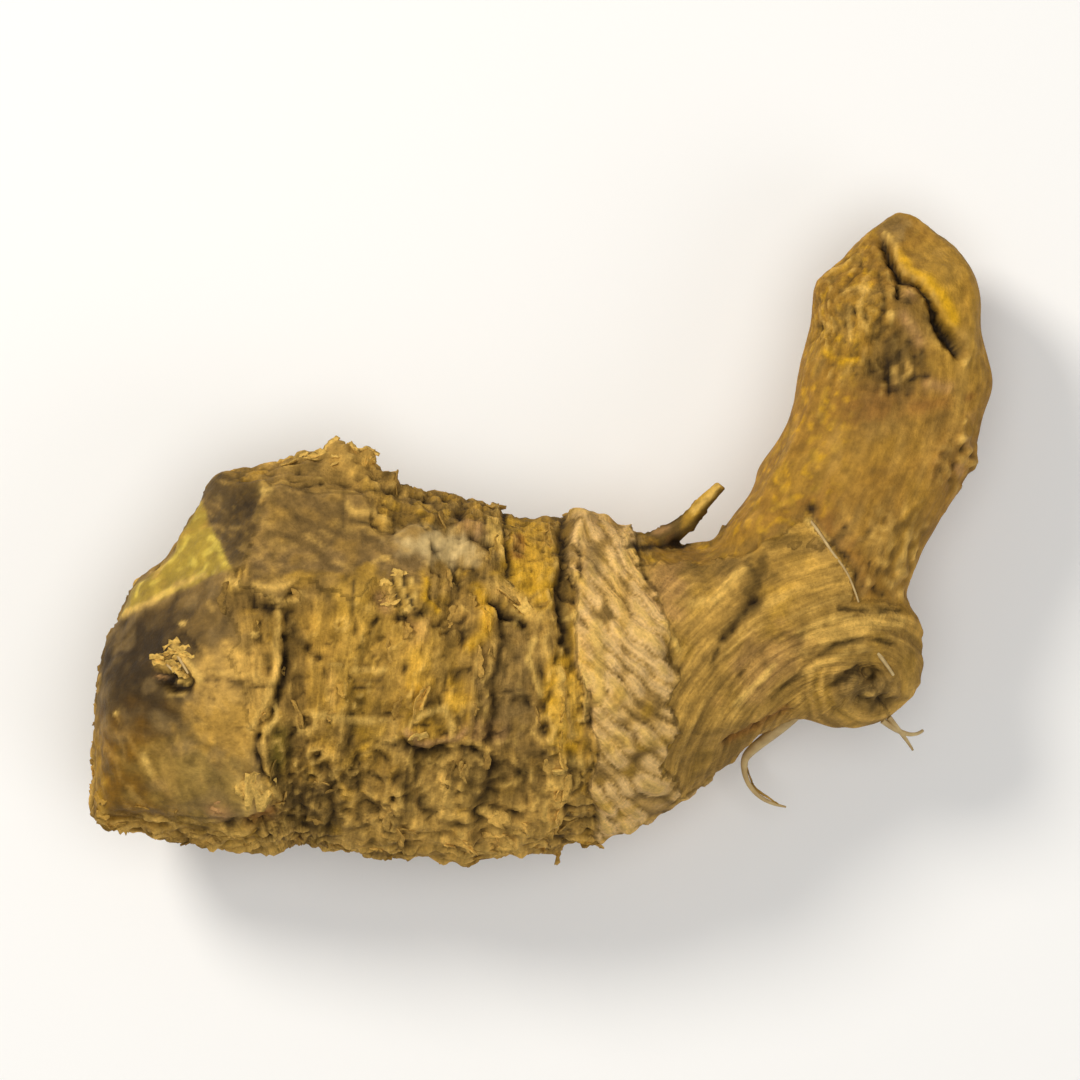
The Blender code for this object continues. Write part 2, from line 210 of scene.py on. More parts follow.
# %% Where the cuts are
CUTS = {
    "chip": ((-21.2, -3.0, 16.7), (-0.64, 0.55, 0.54)),
    "corner": ((-20.6, 1.6, 14.9), (-0.38, 0.58, 0.72)),
    "shoulder": ((-11.0, 0.5, 15.3), (0.04, 0.54, 0.84)),
    "foot": ((0.0, 0.0, 0.0), (0.0, 0.0, -1.0)),
}
CUT_FADE_MM = 0.5
CHIP_EDGE_MM = ((-29.3, -5.7), (-20.5, -2.0))
CORNER_EDGE_MM = ((-20.5, -2.0), (-22.9, 2.8))

bare, facing = points_of(mesh), normals_of(mesh)
uneven = {size: lumps(bare, size, 91) for size in (0.6, 1.3, 2.4)}


def on_cut(name):
    """1 on the flat of a cut, fading to 0 just past its edge."""
    point, way = (np.array(v) for v in CUTS[name])
    way = way / np.linalg.norm(way)
    below = np.abs((bare - point) @ way)
    return eased(CUT_FADE_MM, 0.1, below) * eased(0.90, 0.97, facing @ way)


def left_of(start, end, fray=0.0):
    """How far each point lies to the left of a line in plan, in mm, with an uneven edge."""
    run = np.array(end) - np.array(start)
    run = run / np.linalg.norm(run)
    return run[0] * (bare[:, 1] - start[1]) - run[1] * (bare[:, 0] - start[0]) + fray * uneven[1.3]


cut = {name: on_cut(name) for name in CUTS}
above_skin = eased(-0.15, 0.15, left_of(*CHIP_EDGE_MM, fray=0.25))
before_corner = eased(-0.15, 0.15, left_of(*CORNER_EDGE_MM, fray=0.2))
cut["corner"] = np.maximum(cut["corner"], cut["chip"] * above_skin * (1.0 - before_corner))
cut["chip"] *= above_skin * before_corner
any_cut = np.maximum.reduce(list(cut.values()))
print({name: int((mask > 0.5).sum()) for name, mask in cut.items()}, "points on each cut")

# %% [markdown]
# The solid carves its rings and lumps large, so that they hold at its coarseness. On the real root they
# are lower and sharper. So the skin is drawn towards a much smoother copy of itself, most of all round
# the eye of the side shoot, and the fine relief is raised from there. Thin rootlets would shrink away, so
# they are left out.

# %% Calm the broad forms
CALMING_ROUNDS, CALM_SHARE = 130, 0.62
ROOTLET_MM = (
    (5.9, -1.2, 8.9), (7.2, -0.4, 9.4), (8.8, 0.3, 10.0), (10.2, 1.3, 10.3), (11.3, 2.6, 10.6),
    (12.3, 3.7, 10.8),
)
THREAD_MM = (
    (17.6, -10.6, 7.4), (16.2, -12.4, 6.3), (14.6, -13.8, 5.4), (14.0, -15.4, 4.7), (14.6, -17.0, 4.2),
    (16.4, -18.2, 3.9),
)
SPLIT_MM = np.array((
    (23.2, 20.4), (23.6, 19.3), (24.2, 17.9), (25.4, 17.4), (26.2, 16.4), (26.8, 15.0), (27.7, 13.7),
    (28.3, 12.7),
))
EYE_MM = (22.2, -9.7)
EYE_REACH_MM = 6.3

calm = np.stack([spread(bare[:, k], CALMING_ROUNDS) for k in range(3)], axis=1)
moved = np.linalg.norm(calm - bare, axis=1)
to_eye = np.hypot(bare[:, 0] - EYE_MM[0], bare[:, 1] - EYE_MM[1])
near_eye = eased(EYE_REACH_MM, EYE_REACH_MM - 1.4, to_eye) * eased(3.5, 6.0, bare[:, 2])
knobbly = bump(np.hypot((bare[:, 0] + 13.0) / 5.5, (bare[:, 1] - 6.0) / 2.6), 1.0)
thick = eased(0.9, 1.6, from_line(bare, ROOTLET_MM)) * eased(0.5, 1.0, from_line(bare, THREAD_MM))
share = CALM_SHARE * (1.0 - any_cut) * (1.0 - 0.8 * knobbly)
near_split = bump(from_line(bare[:, :2], SPLIT_MM), 1.5) * eased(3.5, 6.0, bare[:, 2])
share = spread(np.maximum(share, 0.95 * np.maximum(near_eye, near_split)), 5) * thick
bare = bare + (calm - bare) * share[:, None]
bare[:, 2] = np.where(cut["foot"] > 0.3, 0.0, bare[:, 2])
move_points(mesh, bare)
facing = normals_of(mesh)
print("calmed by up to", round(float((share * moved).max()), 2), "mm")

# %% [markdown]
# A rhizome grows along an axis, and nearly all of its markings follow that axis: leaf scars ring it,
# wrinkles and fibres run along it. So each point gets its distance along the axis, its angle round it and
# its distance out. With those three the root can be thought of as straight, and a pattern laid on the
# straight root bends round the neck by itself. Near a bend a point belongs a little to each piece of axis
# close by, which keeps the pattern free of a crease.

# %% Distance along the axis, angle round it
AXIS_MM = np.array((
    (-30.4, -13.4, 9.6), (-26.0, -11.7, 9.2), (-22.0, -8.9, 9.2), (-15.5, -8.1, 9.1), (-10.5, -9.0, 8.9),
    (-5.0, -9.8, 8.6), (0.0, -9.8, 8.4), (4.0, -9.4, 8.3), (7.5, -9.2, 8.5), (10.0, -8.5, 8.8),
    (13.4, -6.5, 9.0), (15.7, -5.2, 9.2), (17.3, -3.9, 9.3), (18.9, -1.5, 9.3), (21.0, 3.2, 9.1),
    (22.6, 6.0, 8.9), (23.8, 10.2, 8.5), (24.1, 14.3, 8.0), (24.1, 17.3, 7.7), (24.0, 22.2, 7.2),
))
AXIS_STEP_MM = 1.0
AXIS_REACH_MM = 1.6


def round_the_axis(points):
    """Distance along the axis, angle round it (a quarter turn is up) and distance from it, for each point."""
    legs = np.linalg.norm(np.diff(AXIS_MM, axis=0), axis=1)
    reached = np.concatenate(([0.0], np.cumsum(legs)))
    steps = np.arange(0.0, reached[-1], AXIS_STEP_MM)
    centres = np.stack([np.interp(steps, reached, AXIS_MM[:, k]) for k in range(3)], axis=1)
    ahead = np.gradient(centres, axis=0)
    away = (points ** 2).sum(axis=1)[:, None] + (centres ** 2).sum(axis=1) - 2.0 * points @ centres.T
    share = np.exp(-(away - away.min(axis=1)[:, None]) / (2.0 * AXIS_REACH_MM ** 2))
    share /= share.sum(axis=1)[:, None]
    along = share @ steps
    out = points - share @ centres
    heading = share @ ahead
    heading /= np.linalg.norm(heading, axis=1)[:, None]
    side = np.stack((-heading[:, 1], heading[:, 0], np.zeros(len(points))), axis=1)
    across = (out * side).sum(axis=1)
    return along, np.arctan2(out[:, 2], across), np.hypot(out[:, 2], across)


along, angle, girth = round_the_axis(bare)
straight = np.stack((along, girth * np.cos(angle), girth * np.sin(angle)), axis=1)
print("farthest from the axis:", round(float(girth.max()), 1), "mm")

# %% [markdown]
# In places the outline of the calmed solid still strays from the photograph. Each is drawn over in plan
# by a soft grip, as one would with a grab brush. The grips are worked out here, so that every mark can be
# placed on the plan as it will be, and they are applied with the relief.

# %% Draw the plan over
GRIPS_MM = (
    ((-24.4, 0.6), 3.2, (-0.60, 0.60)), ((-21.6, 4.4), 2.2, (-0.45, 0.55)), ((-8.6, 3.3), 2.2, (0.0, 0.50)),
    ((-5.0, 2.0), 2.2, (0.10, 0.85)), ((28.1, 19.0), 2.5, (0.75, 0.65)), ((24.6, 22.2), 1.7, (0.30, 0.55)),
    ((30.4, 11.0), 1.8, (0.45, 0.0)), ((19.0, 13.4), 2.2, (0.40, 0.0)), ((19.5, 17.2), 1.7, (-0.60, 0.10)),
    ((16.6, 6.8), 2.3, (-0.15, 0.0)), ((-30.0, -18.6), 1.8, (-0.50, -0.50)),
    ((-27.4, -3.0), 2.2, (-0.55, 0.45)), ((29.2, 16.4), 1.9, (0.40, 0.0)), ((13.3, 1.1), 1.9, (-0.50, 0.45)),
)
drawn_over = np.zeros((len(bare), 2))
for middle, reach, drawn in GRIPS_MM:
    held = bump(np.hypot(bare[:, 0] - middle[0], bare[:, 1] - middle[1]), reach)
    drawn_over += held[:, None] * np.array(drawn)
plan = bare[:, :2] + drawn_over
x, y = plan.T
on_top = eased(-0.10, 0.40, facing[:, 2])
print("axis length:", round(float(along.max()), 1), "mm")

# %% [markdown]
# First light, camera and floor, so that each step can be looked at. The photograph looks straight down on
# the root, so the camera does too, through a long lens that keeps the far and near sides at one scale.
# Soft light comes from above, a little stronger from one side, or the relief would not read.

# %% Floor, lights and camera
VIEW_WIDTH_MM = 73.0
LENS_MM, SENSOR_MM = 240.0, 36.0
FLOOR_HALF_M, FLOOR_GAP_M = 1.5, 0.00003


def hex_colour(code):
    """A colour written as sRGB hex, in the linear numbers that the renderer works in."""
    parts = [int(code[k:k + 2], 16) / 255 for k in (0, 2, 4)]
    return tuple(c / 12.92 if c <= 0.04045 else ((c + 0.055) / 1.055) ** 2.4 for c in parts) + (1.0,)


def add_node(tree, kind, inputs=None, **settings):
    """Adds a shader node. An input is a plain value, or another node's output to link from."""
    made = tree.nodes.new(kind)
    for name, value in settings.items():
        setattr(made, name, value)
    for name, value in (inputs or {}).items():
        if isinstance(value, bpy.types.NodeSocket):
            tree.links.new(value, made.inputs[name])
        else:
            made.inputs[name].default_value = value
    return made


def empty_material(name):
    material = bpy.data.materials.new(name)
    material.use_nodes = True
    material.node_tree.nodes.clear()
    return material, material.node_tree


def soft_light(name, place, size, power, colour):
    lamp = bpy.data.lights.new(name, "AREA")
    lamp.shape = "DISK"
    lamp.size = size
    lamp.energy = power
    lamp.color = hex_colour(colour)[:3]
    made = bpy.data.objects.new(name, lamp)
    made.location = place
    made.rotation_euler = (-Vector(place)).to_track_quat("-Z", "Y").to_euler()
    bpy.context.scene.collection.objects.link(made)


def studio():
    bm = bmesh.new()
    bmesh.ops.create_grid(bm, x_segments=1, y_segments=1, size=FLOOR_HALF_M)
    bmesh.ops.translate(bm, verts=bm.verts, vec=(0.0, 0.0, -FLOOR_GAP_M))
    sheet = bpy.data.meshes.new("floor")
    bm.to_mesh(sheet)
    bm.free()
    floor = bpy.data.objects.new("floor", sheet)
    bpy.context.scene.collection.objects.link(floor)
    # Matt white paper: no shine, and pale enough to stay white beside the dark root.
    paper, tree = empty_material("matt_white_paper")
    shader = add_node(tree, "ShaderNodeBsdfPrincipled", {
        "Base Color": hex_colour("f4f3f0"), "Roughness": 0.95, "Specular IOR Level": 0.2})
    add_node(tree, "ShaderNodeOutputMaterial", {"Surface": shader.outputs[0]})
    sheet.materials.append(paper)
    soft_light("key", (-0.28, 0.24, 0.34), 0.16, 1.55, "fffaf2")
    soft_light("overhead", (0.05, -0.05, 0.60), 0.50, 1.6, "ffffff")
    soft_light("fill", (0.36, -0.22, 0.30), 0.30, 0.35, "f6f8ff")
    world = bpy.data.worlds.new("pale_room")
    world.use_nodes = True
    world.node_tree.nodes["Background"].inputs["Color"].default_value = (1.0, 1.0, 1.0, 1.0)
    world.node_tree.nodes["Background"].inputs["Strength"].default_value = 0.25
    bpy.context.scene.world = world


def camera_above():
    low, high = cad_box
    lens = bpy.data.cameras.new("camera")
    lens.lens, lens.sensor_width = LENS_MM, SENSOR_MM
    made = bpy.data.objects.new("camera", lens)
    distance = VIEW_WIDTH_MM * MM * LENS_MM / SENSOR_MM
    middle = (low + high) / 2
    made.location = (middle.x, middle.y, middle.z + distance)
    lens.clip_start, lens.clip_end = 0.01, 10.0
    bpy.context.scene.collection.objects.link(made)
    bpy.context.scene.camera = made


studio()
camera_above()
bpy.context.scene.view_settings.view_transform = "Standard"
print("camera", round(bpy.context.scene.camera.location.z / MM), "mm above the floor")

# %% Patches of the upper side
def patch(middle_x, middle_y, half_x, half_y, turn=0.0, fray=0.5, grain_mm=0.6, soft=0.5):
    """A patch of the upper side with an uneven edge: 1 inside, 0 outside. The turn is in degrees."""
    c, s = math.cos(math.radians(turn)), math.sin(math.radians(turn))
    dx, dy = x - middle_x, y - middle_y
    far = np.hypot((c * dx + s * dy) / half_x, (c * dy - s * dx) / half_y)
    return eased(1.0 + soft, 1.0 - soft, far + fray * uneven[grain_mm]) * on_top


print("upper side:", int((on_top > 0.5).sum()), "points")

# %% [markdown]
# Leaf scars ring the body every four or five millimetres. Each is a frayed line that stands proud, with a
# groove on the side where the leaf was. Finer growth lines run beside them. The rings of the solid lean
# and waver by the same formula, so the fine crests land on its broad ones.

# %% Rings and growth lines
RINGS_MM = (14.4, 18.8, 23.8, 27.8, 32.8)
RING_STRENGTH = (0.35, 0.4, 0.5, 0.85, 0.9)
RING_LEAN_MM, RING_WAVER_MM = 0.7, 1.0
BAND_FROM_MM, BAND_TO_MM, BAND_WAVER_MM = 35.0, 40.9, 1.3
END_MM = 11.5
BAND_EDGE_Y_MM, BAND_EDGE_MM = (-17.0, -12.2, -9.1, -5.8, -2.8, 0.0), (-1.3, -1.0, 0.6, 1.6, 1.1, 0.6)
around = np.stack((np.cos(angle), np.sin(angle)), axis=1)
upper = eased(-0.3, 0.2, around[:, 1])


def waver_of(seed, spacing, height):
    """How far a ring strays along the root, by its angle: the same rule as in the solid."""
    spots = np.column_stack((around * spacing, np.full(len(around), height)))
    return np.array([noise.noise(p) for p in spots.tolist()])


band_along = along - BAND_WAVER_MM * waver_of(0, 3.0, 40.0)
band_end = BAND_TO_MM + on_top * np.interp(y, BAND_EDGE_Y_MM, BAND_EDGE_MM)
in_band = eased(BAND_FROM_MM - 0.5, BAND_FROM_MM, band_along)
in_band *= eased(0.15, -0.15, band_along - band_end + 0.3 * uneven[0.6])
on_body = eased(BAND_FROM_MM, BAND_FROM_MM - 0.6, band_along)
rubbed = eased(END_MM + 1.2, END_MM - 0.8, along - 0.9 * uneven[2.4]) * on_top * eased(-19.2, -18.0, y)
rough = on_body * (1.0 - any_cut) * (1.0 - 0.9 * rubbed) * (0.3 + 0.7 * thick)

fray = np.clip(0.70 + 1.0 * lumps(straight, (3.0, 0.8, 0.8), 3), 0.1, 1.7)
ring_crest, ring_groove = np.zeros(len(bare)), np.zeros(len(bare))
for n, at in enumerate(RINGS_MM):
    off = along - at - RING_LEAN_MM * around[:, 0] - RING_WAVER_MM * waver_of(n, 2.0, 5.0 * n)
    off -= 0.20 * lumps(straight, (3.0, 0.9, 0.9), 20 + n)
    line = RING_STRENGTH[n] * fray
    ring_crest = np.maximum(ring_crest, line * (bump(off, 0.25) + 0.6 * bump(off + 0.8, 0.22)))
    ring_groove = np.maximum(ring_groove, RING_STRENGTH[n] * bump(off - 0.65, 0.30))
growth = lumps(straight, (0.5, 4.0, 4.0), 4)
height = rough * (0.26 * ring_crest - 0.24 * ring_groove + 0.06 * growth)


def tell_relief(step):
    """Prints how far the relief sinks and rises after a step."""
    print(step + ", relief:", round(float(height.min()), 2), "to", round(float(height.max()), 2), "mm")


tell_relief("rings")

# %% [markdown]
# Between the rings the cork has dried and split into flakes of many sizes that lie a little above or
# below each other. A Voronoi pattern gives each flake its own level with a sharp step at its edge, and
# warping the points first keeps the edges from looking like straight cracks in glass. Low down on the
# sides the cork has shrunk into layers that run along the root.

# %% Flaking cork
def warped(points, reach, size, seed):
    drift = np.stack([lumps(points, size, seed + k) for k in range(3)], axis=1)
    return points + reach * drift


warp = warped(straight, 0.6, 1.5, 30)
big_shade, big_inside = flakes(warp, (2.6, 2.4, 2.4), 1)
small_shade, small_inside = flakes(warp, (0.9, 1.7, 1.7), 2)
flaking = 0.20 * (big_shade - 0.5) * eased(0.0, 0.10, big_inside)
flaking += 0.10 * (small_shade - 0.5) * eased(0.0, 0.22, small_inside)
crumbs = 0.07 * lumps(bare, 1.1, 8) + 0.09 * lumps(warp, (0.45, 1.9, 1.9), 9)
pillow = lumps(warp, (2.4, 1.7, 1.7), 5)
crease = bump(pillow, 0.09)
crumbs += 0.14 * np.abs(pillow) - 0.12 * crease
shrunk = 0.28 - 1.2 * np.abs(lumps(straight, (6.0, 1.5, 1.5), 10))
low_side = eased(0.80, 0.35, facing[:, 2])
layered = low_side * eased(-0.3, -0.8, around[:, 0])
layers = lumps(warp, (3.6, 0.8, 0.46), 11)
height += rough * (flaking + crumbs + 0.20 * np.clip(shrunk, -0.6, 0.28) * (0.3 + 0.7 * low_side))
knobs = 0.30 * lumps(bare, 1.4, 6) + 0.16 * lumps(bare, 0.7, 7)
height += rough * (layered * 0.26 * layers + knobbly * knobs)
low_flakes = lumps(warp, (0.7, 0.9, 0.9), 100)
height += 0.10 * rough * eased(-12.5, -15.5, y) * low_flakes

DEEPEST_PIT_MM = 0.05
height = np.maximum(height, spread(height, 2) - DEEPEST_PIT_MM)
tell_relief("cork")

# %% [markdown]
# The base of the last leaf is a stiff sheath that wraps the root where it narrows. It dried into slanting
# ridges about a millimetre apart, like cord wound at an angle, and it ends in a ragged edge over the
# neck.

# %% Ridged leaf base
RIDGE_MM, RIDGE_SLANT = 1.06, 0.74
slant_along = along * math.cos(RIDGE_SLANT) + straight[:, 1] * math.sin(RIDGE_SLANT)
slant_along += 0.24 * lumps(straight, 3.4, 12) + 0.12 * lumps(straight, 1.2, 16)
cord = np.sqrt(0.54 - 0.46 * np.cos(2.0 * math.pi * slant_along / RIDGE_MM))
cord_length = straight[:, 1] * math.cos(RIDGE_SLANT) - along * math.sin(RIDGE_SLANT)
which_cord = np.floor(slant_along / RIDGE_MM)
piece_of_cord = lumps(np.column_stack((which_cord * 3.7, cord_length / 1.5, straight[:, 2] / 3.0)), 1.0, 13)
cord_strength = np.clip(0.85 + 0.9 * piece_of_cord, 0.15, 1.5)
height += in_band * (0.23 * cord * cord_strength + 0.06 * lumps(straight, (1.6, 0.5, 1.5), 14))
height += 0.14 * in_band + in_band * 0.12 * lumps(bare, 0.8, 18)
tell_relief("leaf base")

# %% [markdown]
# Over the neck the fibres of the sheath sweep from the underside, up and round the eye of the broken side
# shoot. On the upper side their direction comes from one number: the distance from the eye, less a term
# that grows with the angle behind it. Along a fibre that number stays the same, so noise that changes
# fast with it and slowly with the distance along the root makes fibres. The eye itself is a slit that
# dried inwards, painted dark as shade, with the rings of the shoot's own leaves below it.

# %% Fibres of the neck and the eye
SWEEP = 5.9e-6  # mm for each cubed degree behind the eye
behind = np.degrees(np.arctan2(y - EYE_MM[1], x - EYE_MM[0])) % 360.0
behind = np.where(behind > 300.0, behind - 360.0, behind)
oval = np.hypot(x - EYE_MM[0], (y - EYE_MM[1]) * 1.15)
fibre_line = oval - SWEEP * np.clip(behind - 90.0, 0.0, 125.0) ** 3 + 0.12 * lumps(bare, 2.6, 39)
fibre_space = np.stack((fibre_line, along / 9.0, straight[:, 2] / 6.0), axis=1)
back_space = np.stack((straight[:, 1], along / 12.0, straight[:, 2]), axis=1)

TIP_ANGLE, TIP_LENGTH_MM, SHEATH_END_MM = 1.19, 5.6, 51.2
from_tip = np.abs((angle - TIP_ANGLE + math.pi) % (2 * math.pi) - math.pi)
sheath_edge = SHEATH_END_MM + TIP_LENGTH_MM * np.clip(1.0 - from_tip / 0.85, 0.0, 1.0)
sheath_edge += 0.35 * lumps(straight, 1.8, 15)
TIP_RIGHT_MM = ((20.9, -5.5), (20.9, -2.0), (19.05, 0.0), (17.9, 1.75))
TIP_LEFT_MM = ((11.0, -1.6), (12.6, -1.2), (13.7, -1.2), (15.7, 0.1), (17.9, 1.75))
right_x, right_y = zip(*TIP_RIGHT_MM)
left_x, left_y = zip(*TIP_LEFT_MM)
past_right = x - np.interp(y, right_y, right_x)
past_left = (y - np.interp(x, left_x, left_y)) * 0.8
past_edge = np.maximum(past_right, past_left) + 0.22 * uneven[0.6]
past_edge = on_top * past_edge + (1.0 - on_top) * (along - sheath_edge)
in_sheath = eased(0.2, -0.2, past_edge)
in_neck = eased(-0.1, 0.2, band_along - band_end) * np.maximum(in_sheath, near_eye)


def fibres(width, seed):
    sweep = lumps(fibre_space, (width, width * 1.4, width * 2.5), seed)
    plain = lumps(back_space, (width, width * 1.4, width), seed)
    return upper * sweep + (1.0 - upper) * plain


coarse_fibre, fine_fibre = fibres(0.80, 40), fibres(0.38, 43)
below_eye = near_eye * eased(0.6, -0.4, y - EYE_MM[1] + 0.45 * (x - EYE_MM[0]))
below_eye *= eased(-5.5, -4.0, x - EYE_MM[0])
at_edge = in_neck * (1.0 - near_eye)
fibre_share = in_neck * (1.0 - below_eye) * (0.3 + 0.7 * thick) * (1.25 - 0.75 * at_edge * upper)
height += fibre_share * (0.06 * coarse_fibre + 0.10 * fine_fibre + 0.05 * lumps(bare, 0.8, 19))
height += at_edge * (0.14 * eased(-2.5, 0.0, past_edge) + 0.05 * lumps(bare, 1.4, 38))
lobe_rings = np.cos(2.0 * math.pi * (oval + 0.25 * lumps(bare, 2.0, 17)) / 0.85)
height += below_eye * 0.05 * lobe_rings * eased(1.2, 2.2, oval) * eased(4.4, 3.4, oval)
UPPER_SLIT_MM = ((19.5, -9.8), (20.4, -9.2), (21.3, -8.7), (22.2, -8.9))
LOWER_SLIT_MM = ((21.5, -10.7), (22.5, -11.0), (23.4, -10.8))
to_slit = np.minimum(from_line(plan, UPPER_SLIT_MM), from_line(plan, LOWER_SLIT_MM))
eye_slit = bump(to_slit + 0.18 * uneven[0.6], 0.34) * near_eye
eye_floor = patch(22.0, -9.9, 2.1, 1.2, -14, 0.3, 0.6, 0.6) * near_eye
height += near_eye * (0.18 * bump(oval - 3.0, 1.4) - 0.45 * eye_slit)
rolls = lumps(np.stack((x * 0.4 - y * 0.9, x * 0.3 + y * 0.1, bare[:, 2]), axis=1), 0.45, 93)
height += eye_floor * (0.25 * rolls + 0.20)
tell_relief("neck")

# %% [markdown]
# The finger is younger and its skin is nearly whole: smooth in the middle, finely puckered on one side of
# its end, with a dried-in hollow, torn flaky skin at its foot, warts down one edge and a split that runs
# from the tip round a hard cap. The solid has the split; here it is drawn on to the tip, and its lips are
# raised.

# %% The finger
in_finger = np.clip(eased(BAND_TO_MM + 2.0, BAND_TO_MM + 3.0, along) - in_neck, 0.0, 1.0)
torn = in_finger * patch(20.2, -0.4, 3.6, 1.0, -58)
flaky = in_finger * patch(24.0, -0.8, 2.0, 2.8)
warts = in_finger * patch(28.0, 4.9, 1.3, 2.4)
lumpy = lumps(bare, 0.75, 101)
height += (0.26 * torn + 0.18 * flaky + 0.24 * warts) * lumpy
puckered = patch(20.9, 15.6, 3.0, 4.4, -14, 0.35, 0.6, 0.3) * in_finger
pucker = lumps(warp, (1.6, 0.42, 0.42), 52) + 0.6 * lumps(warp, (2.8, 0.8, 0.8), 53)
wrinkles = 0.10 * lumps(straight, (5.0, 2.0, 2.0), 50) + 0.05 * lumps(straight, (3.0, 0.5, 0.5), 51)
height += in_finger * wrinkles
height += puckered * 0.13 * pucker
hollow = patch(24.1, 12.3, 2.1, 2.2, 20, 0.35, 0.6, 0.5) * in_finger
spoke_turn = np.degrees(np.arctan2(y - 14.2, x - 23.6)) / 18.0
spokes = lumps(np.column_stack((spoke_turn, along / 4.0, y * 0.0)), 1.0, 54)
height += hollow * (0.16 * spokes + 0.20 * lumps(warp, (1.4, 0.6, 0.6), 58) - 0.35)
warty = patch(28.4, 5.6, 1.4, 2.8, -15, 0.3, 0.6, 0.5) * in_finger
height += warty * 0.40 * np.clip(lumps(bare, 0.8, 55), 0.0, 1.0)
split_line = from_line(plan, SPLIT_MM) + 0.10 * uneven[0.6]
capside = x > np.interp(y, SPLIT_MM[::-1, 1], SPLIT_MM[::-1, 0])
split_top = on_top * in_finger
SPLIT_DEPTH_MM = 0.9
split_width = 0.20 + 0.06 * eased(18.5, 19.5, y) + 0.14 * eased(15.5, 14.0, y)
split_line = np.minimum(split_line, from_line(plan, ((24.2, 17.9), (24.1, 16.7))) + 0.08)
height -= split_top * SPLIT_DEPTH_MM * bump(split_line, split_width)
bead = bump(np.hypot(x - 24.85, y - 16.85), 0.5) * split_top
height += 0.45 * bead * (1.0 - capside)
lip = np.where(capside, 0.28 * bump(split_line - 0.6, 0.5), 0.10 * bump(split_line - 0.6, 0.4))
height += split_top * lip
KNOBS_MM = ((-15.5, 5.0, 0.55, 0.5), (-13.0, 5.4, 0.9, 0.5), (-10.1, 4.0, 0.45, 0.6), (2.8, 0.6, 0.8, 0.9))
for knob_x, knob_y, knob_size, rise in KNOBS_MM:
    height += rise * bump(np.hypot(x - knob_x, y - knob_y), knob_size) * (facing[:, 1] > 0.0)


tell_relief("finger")
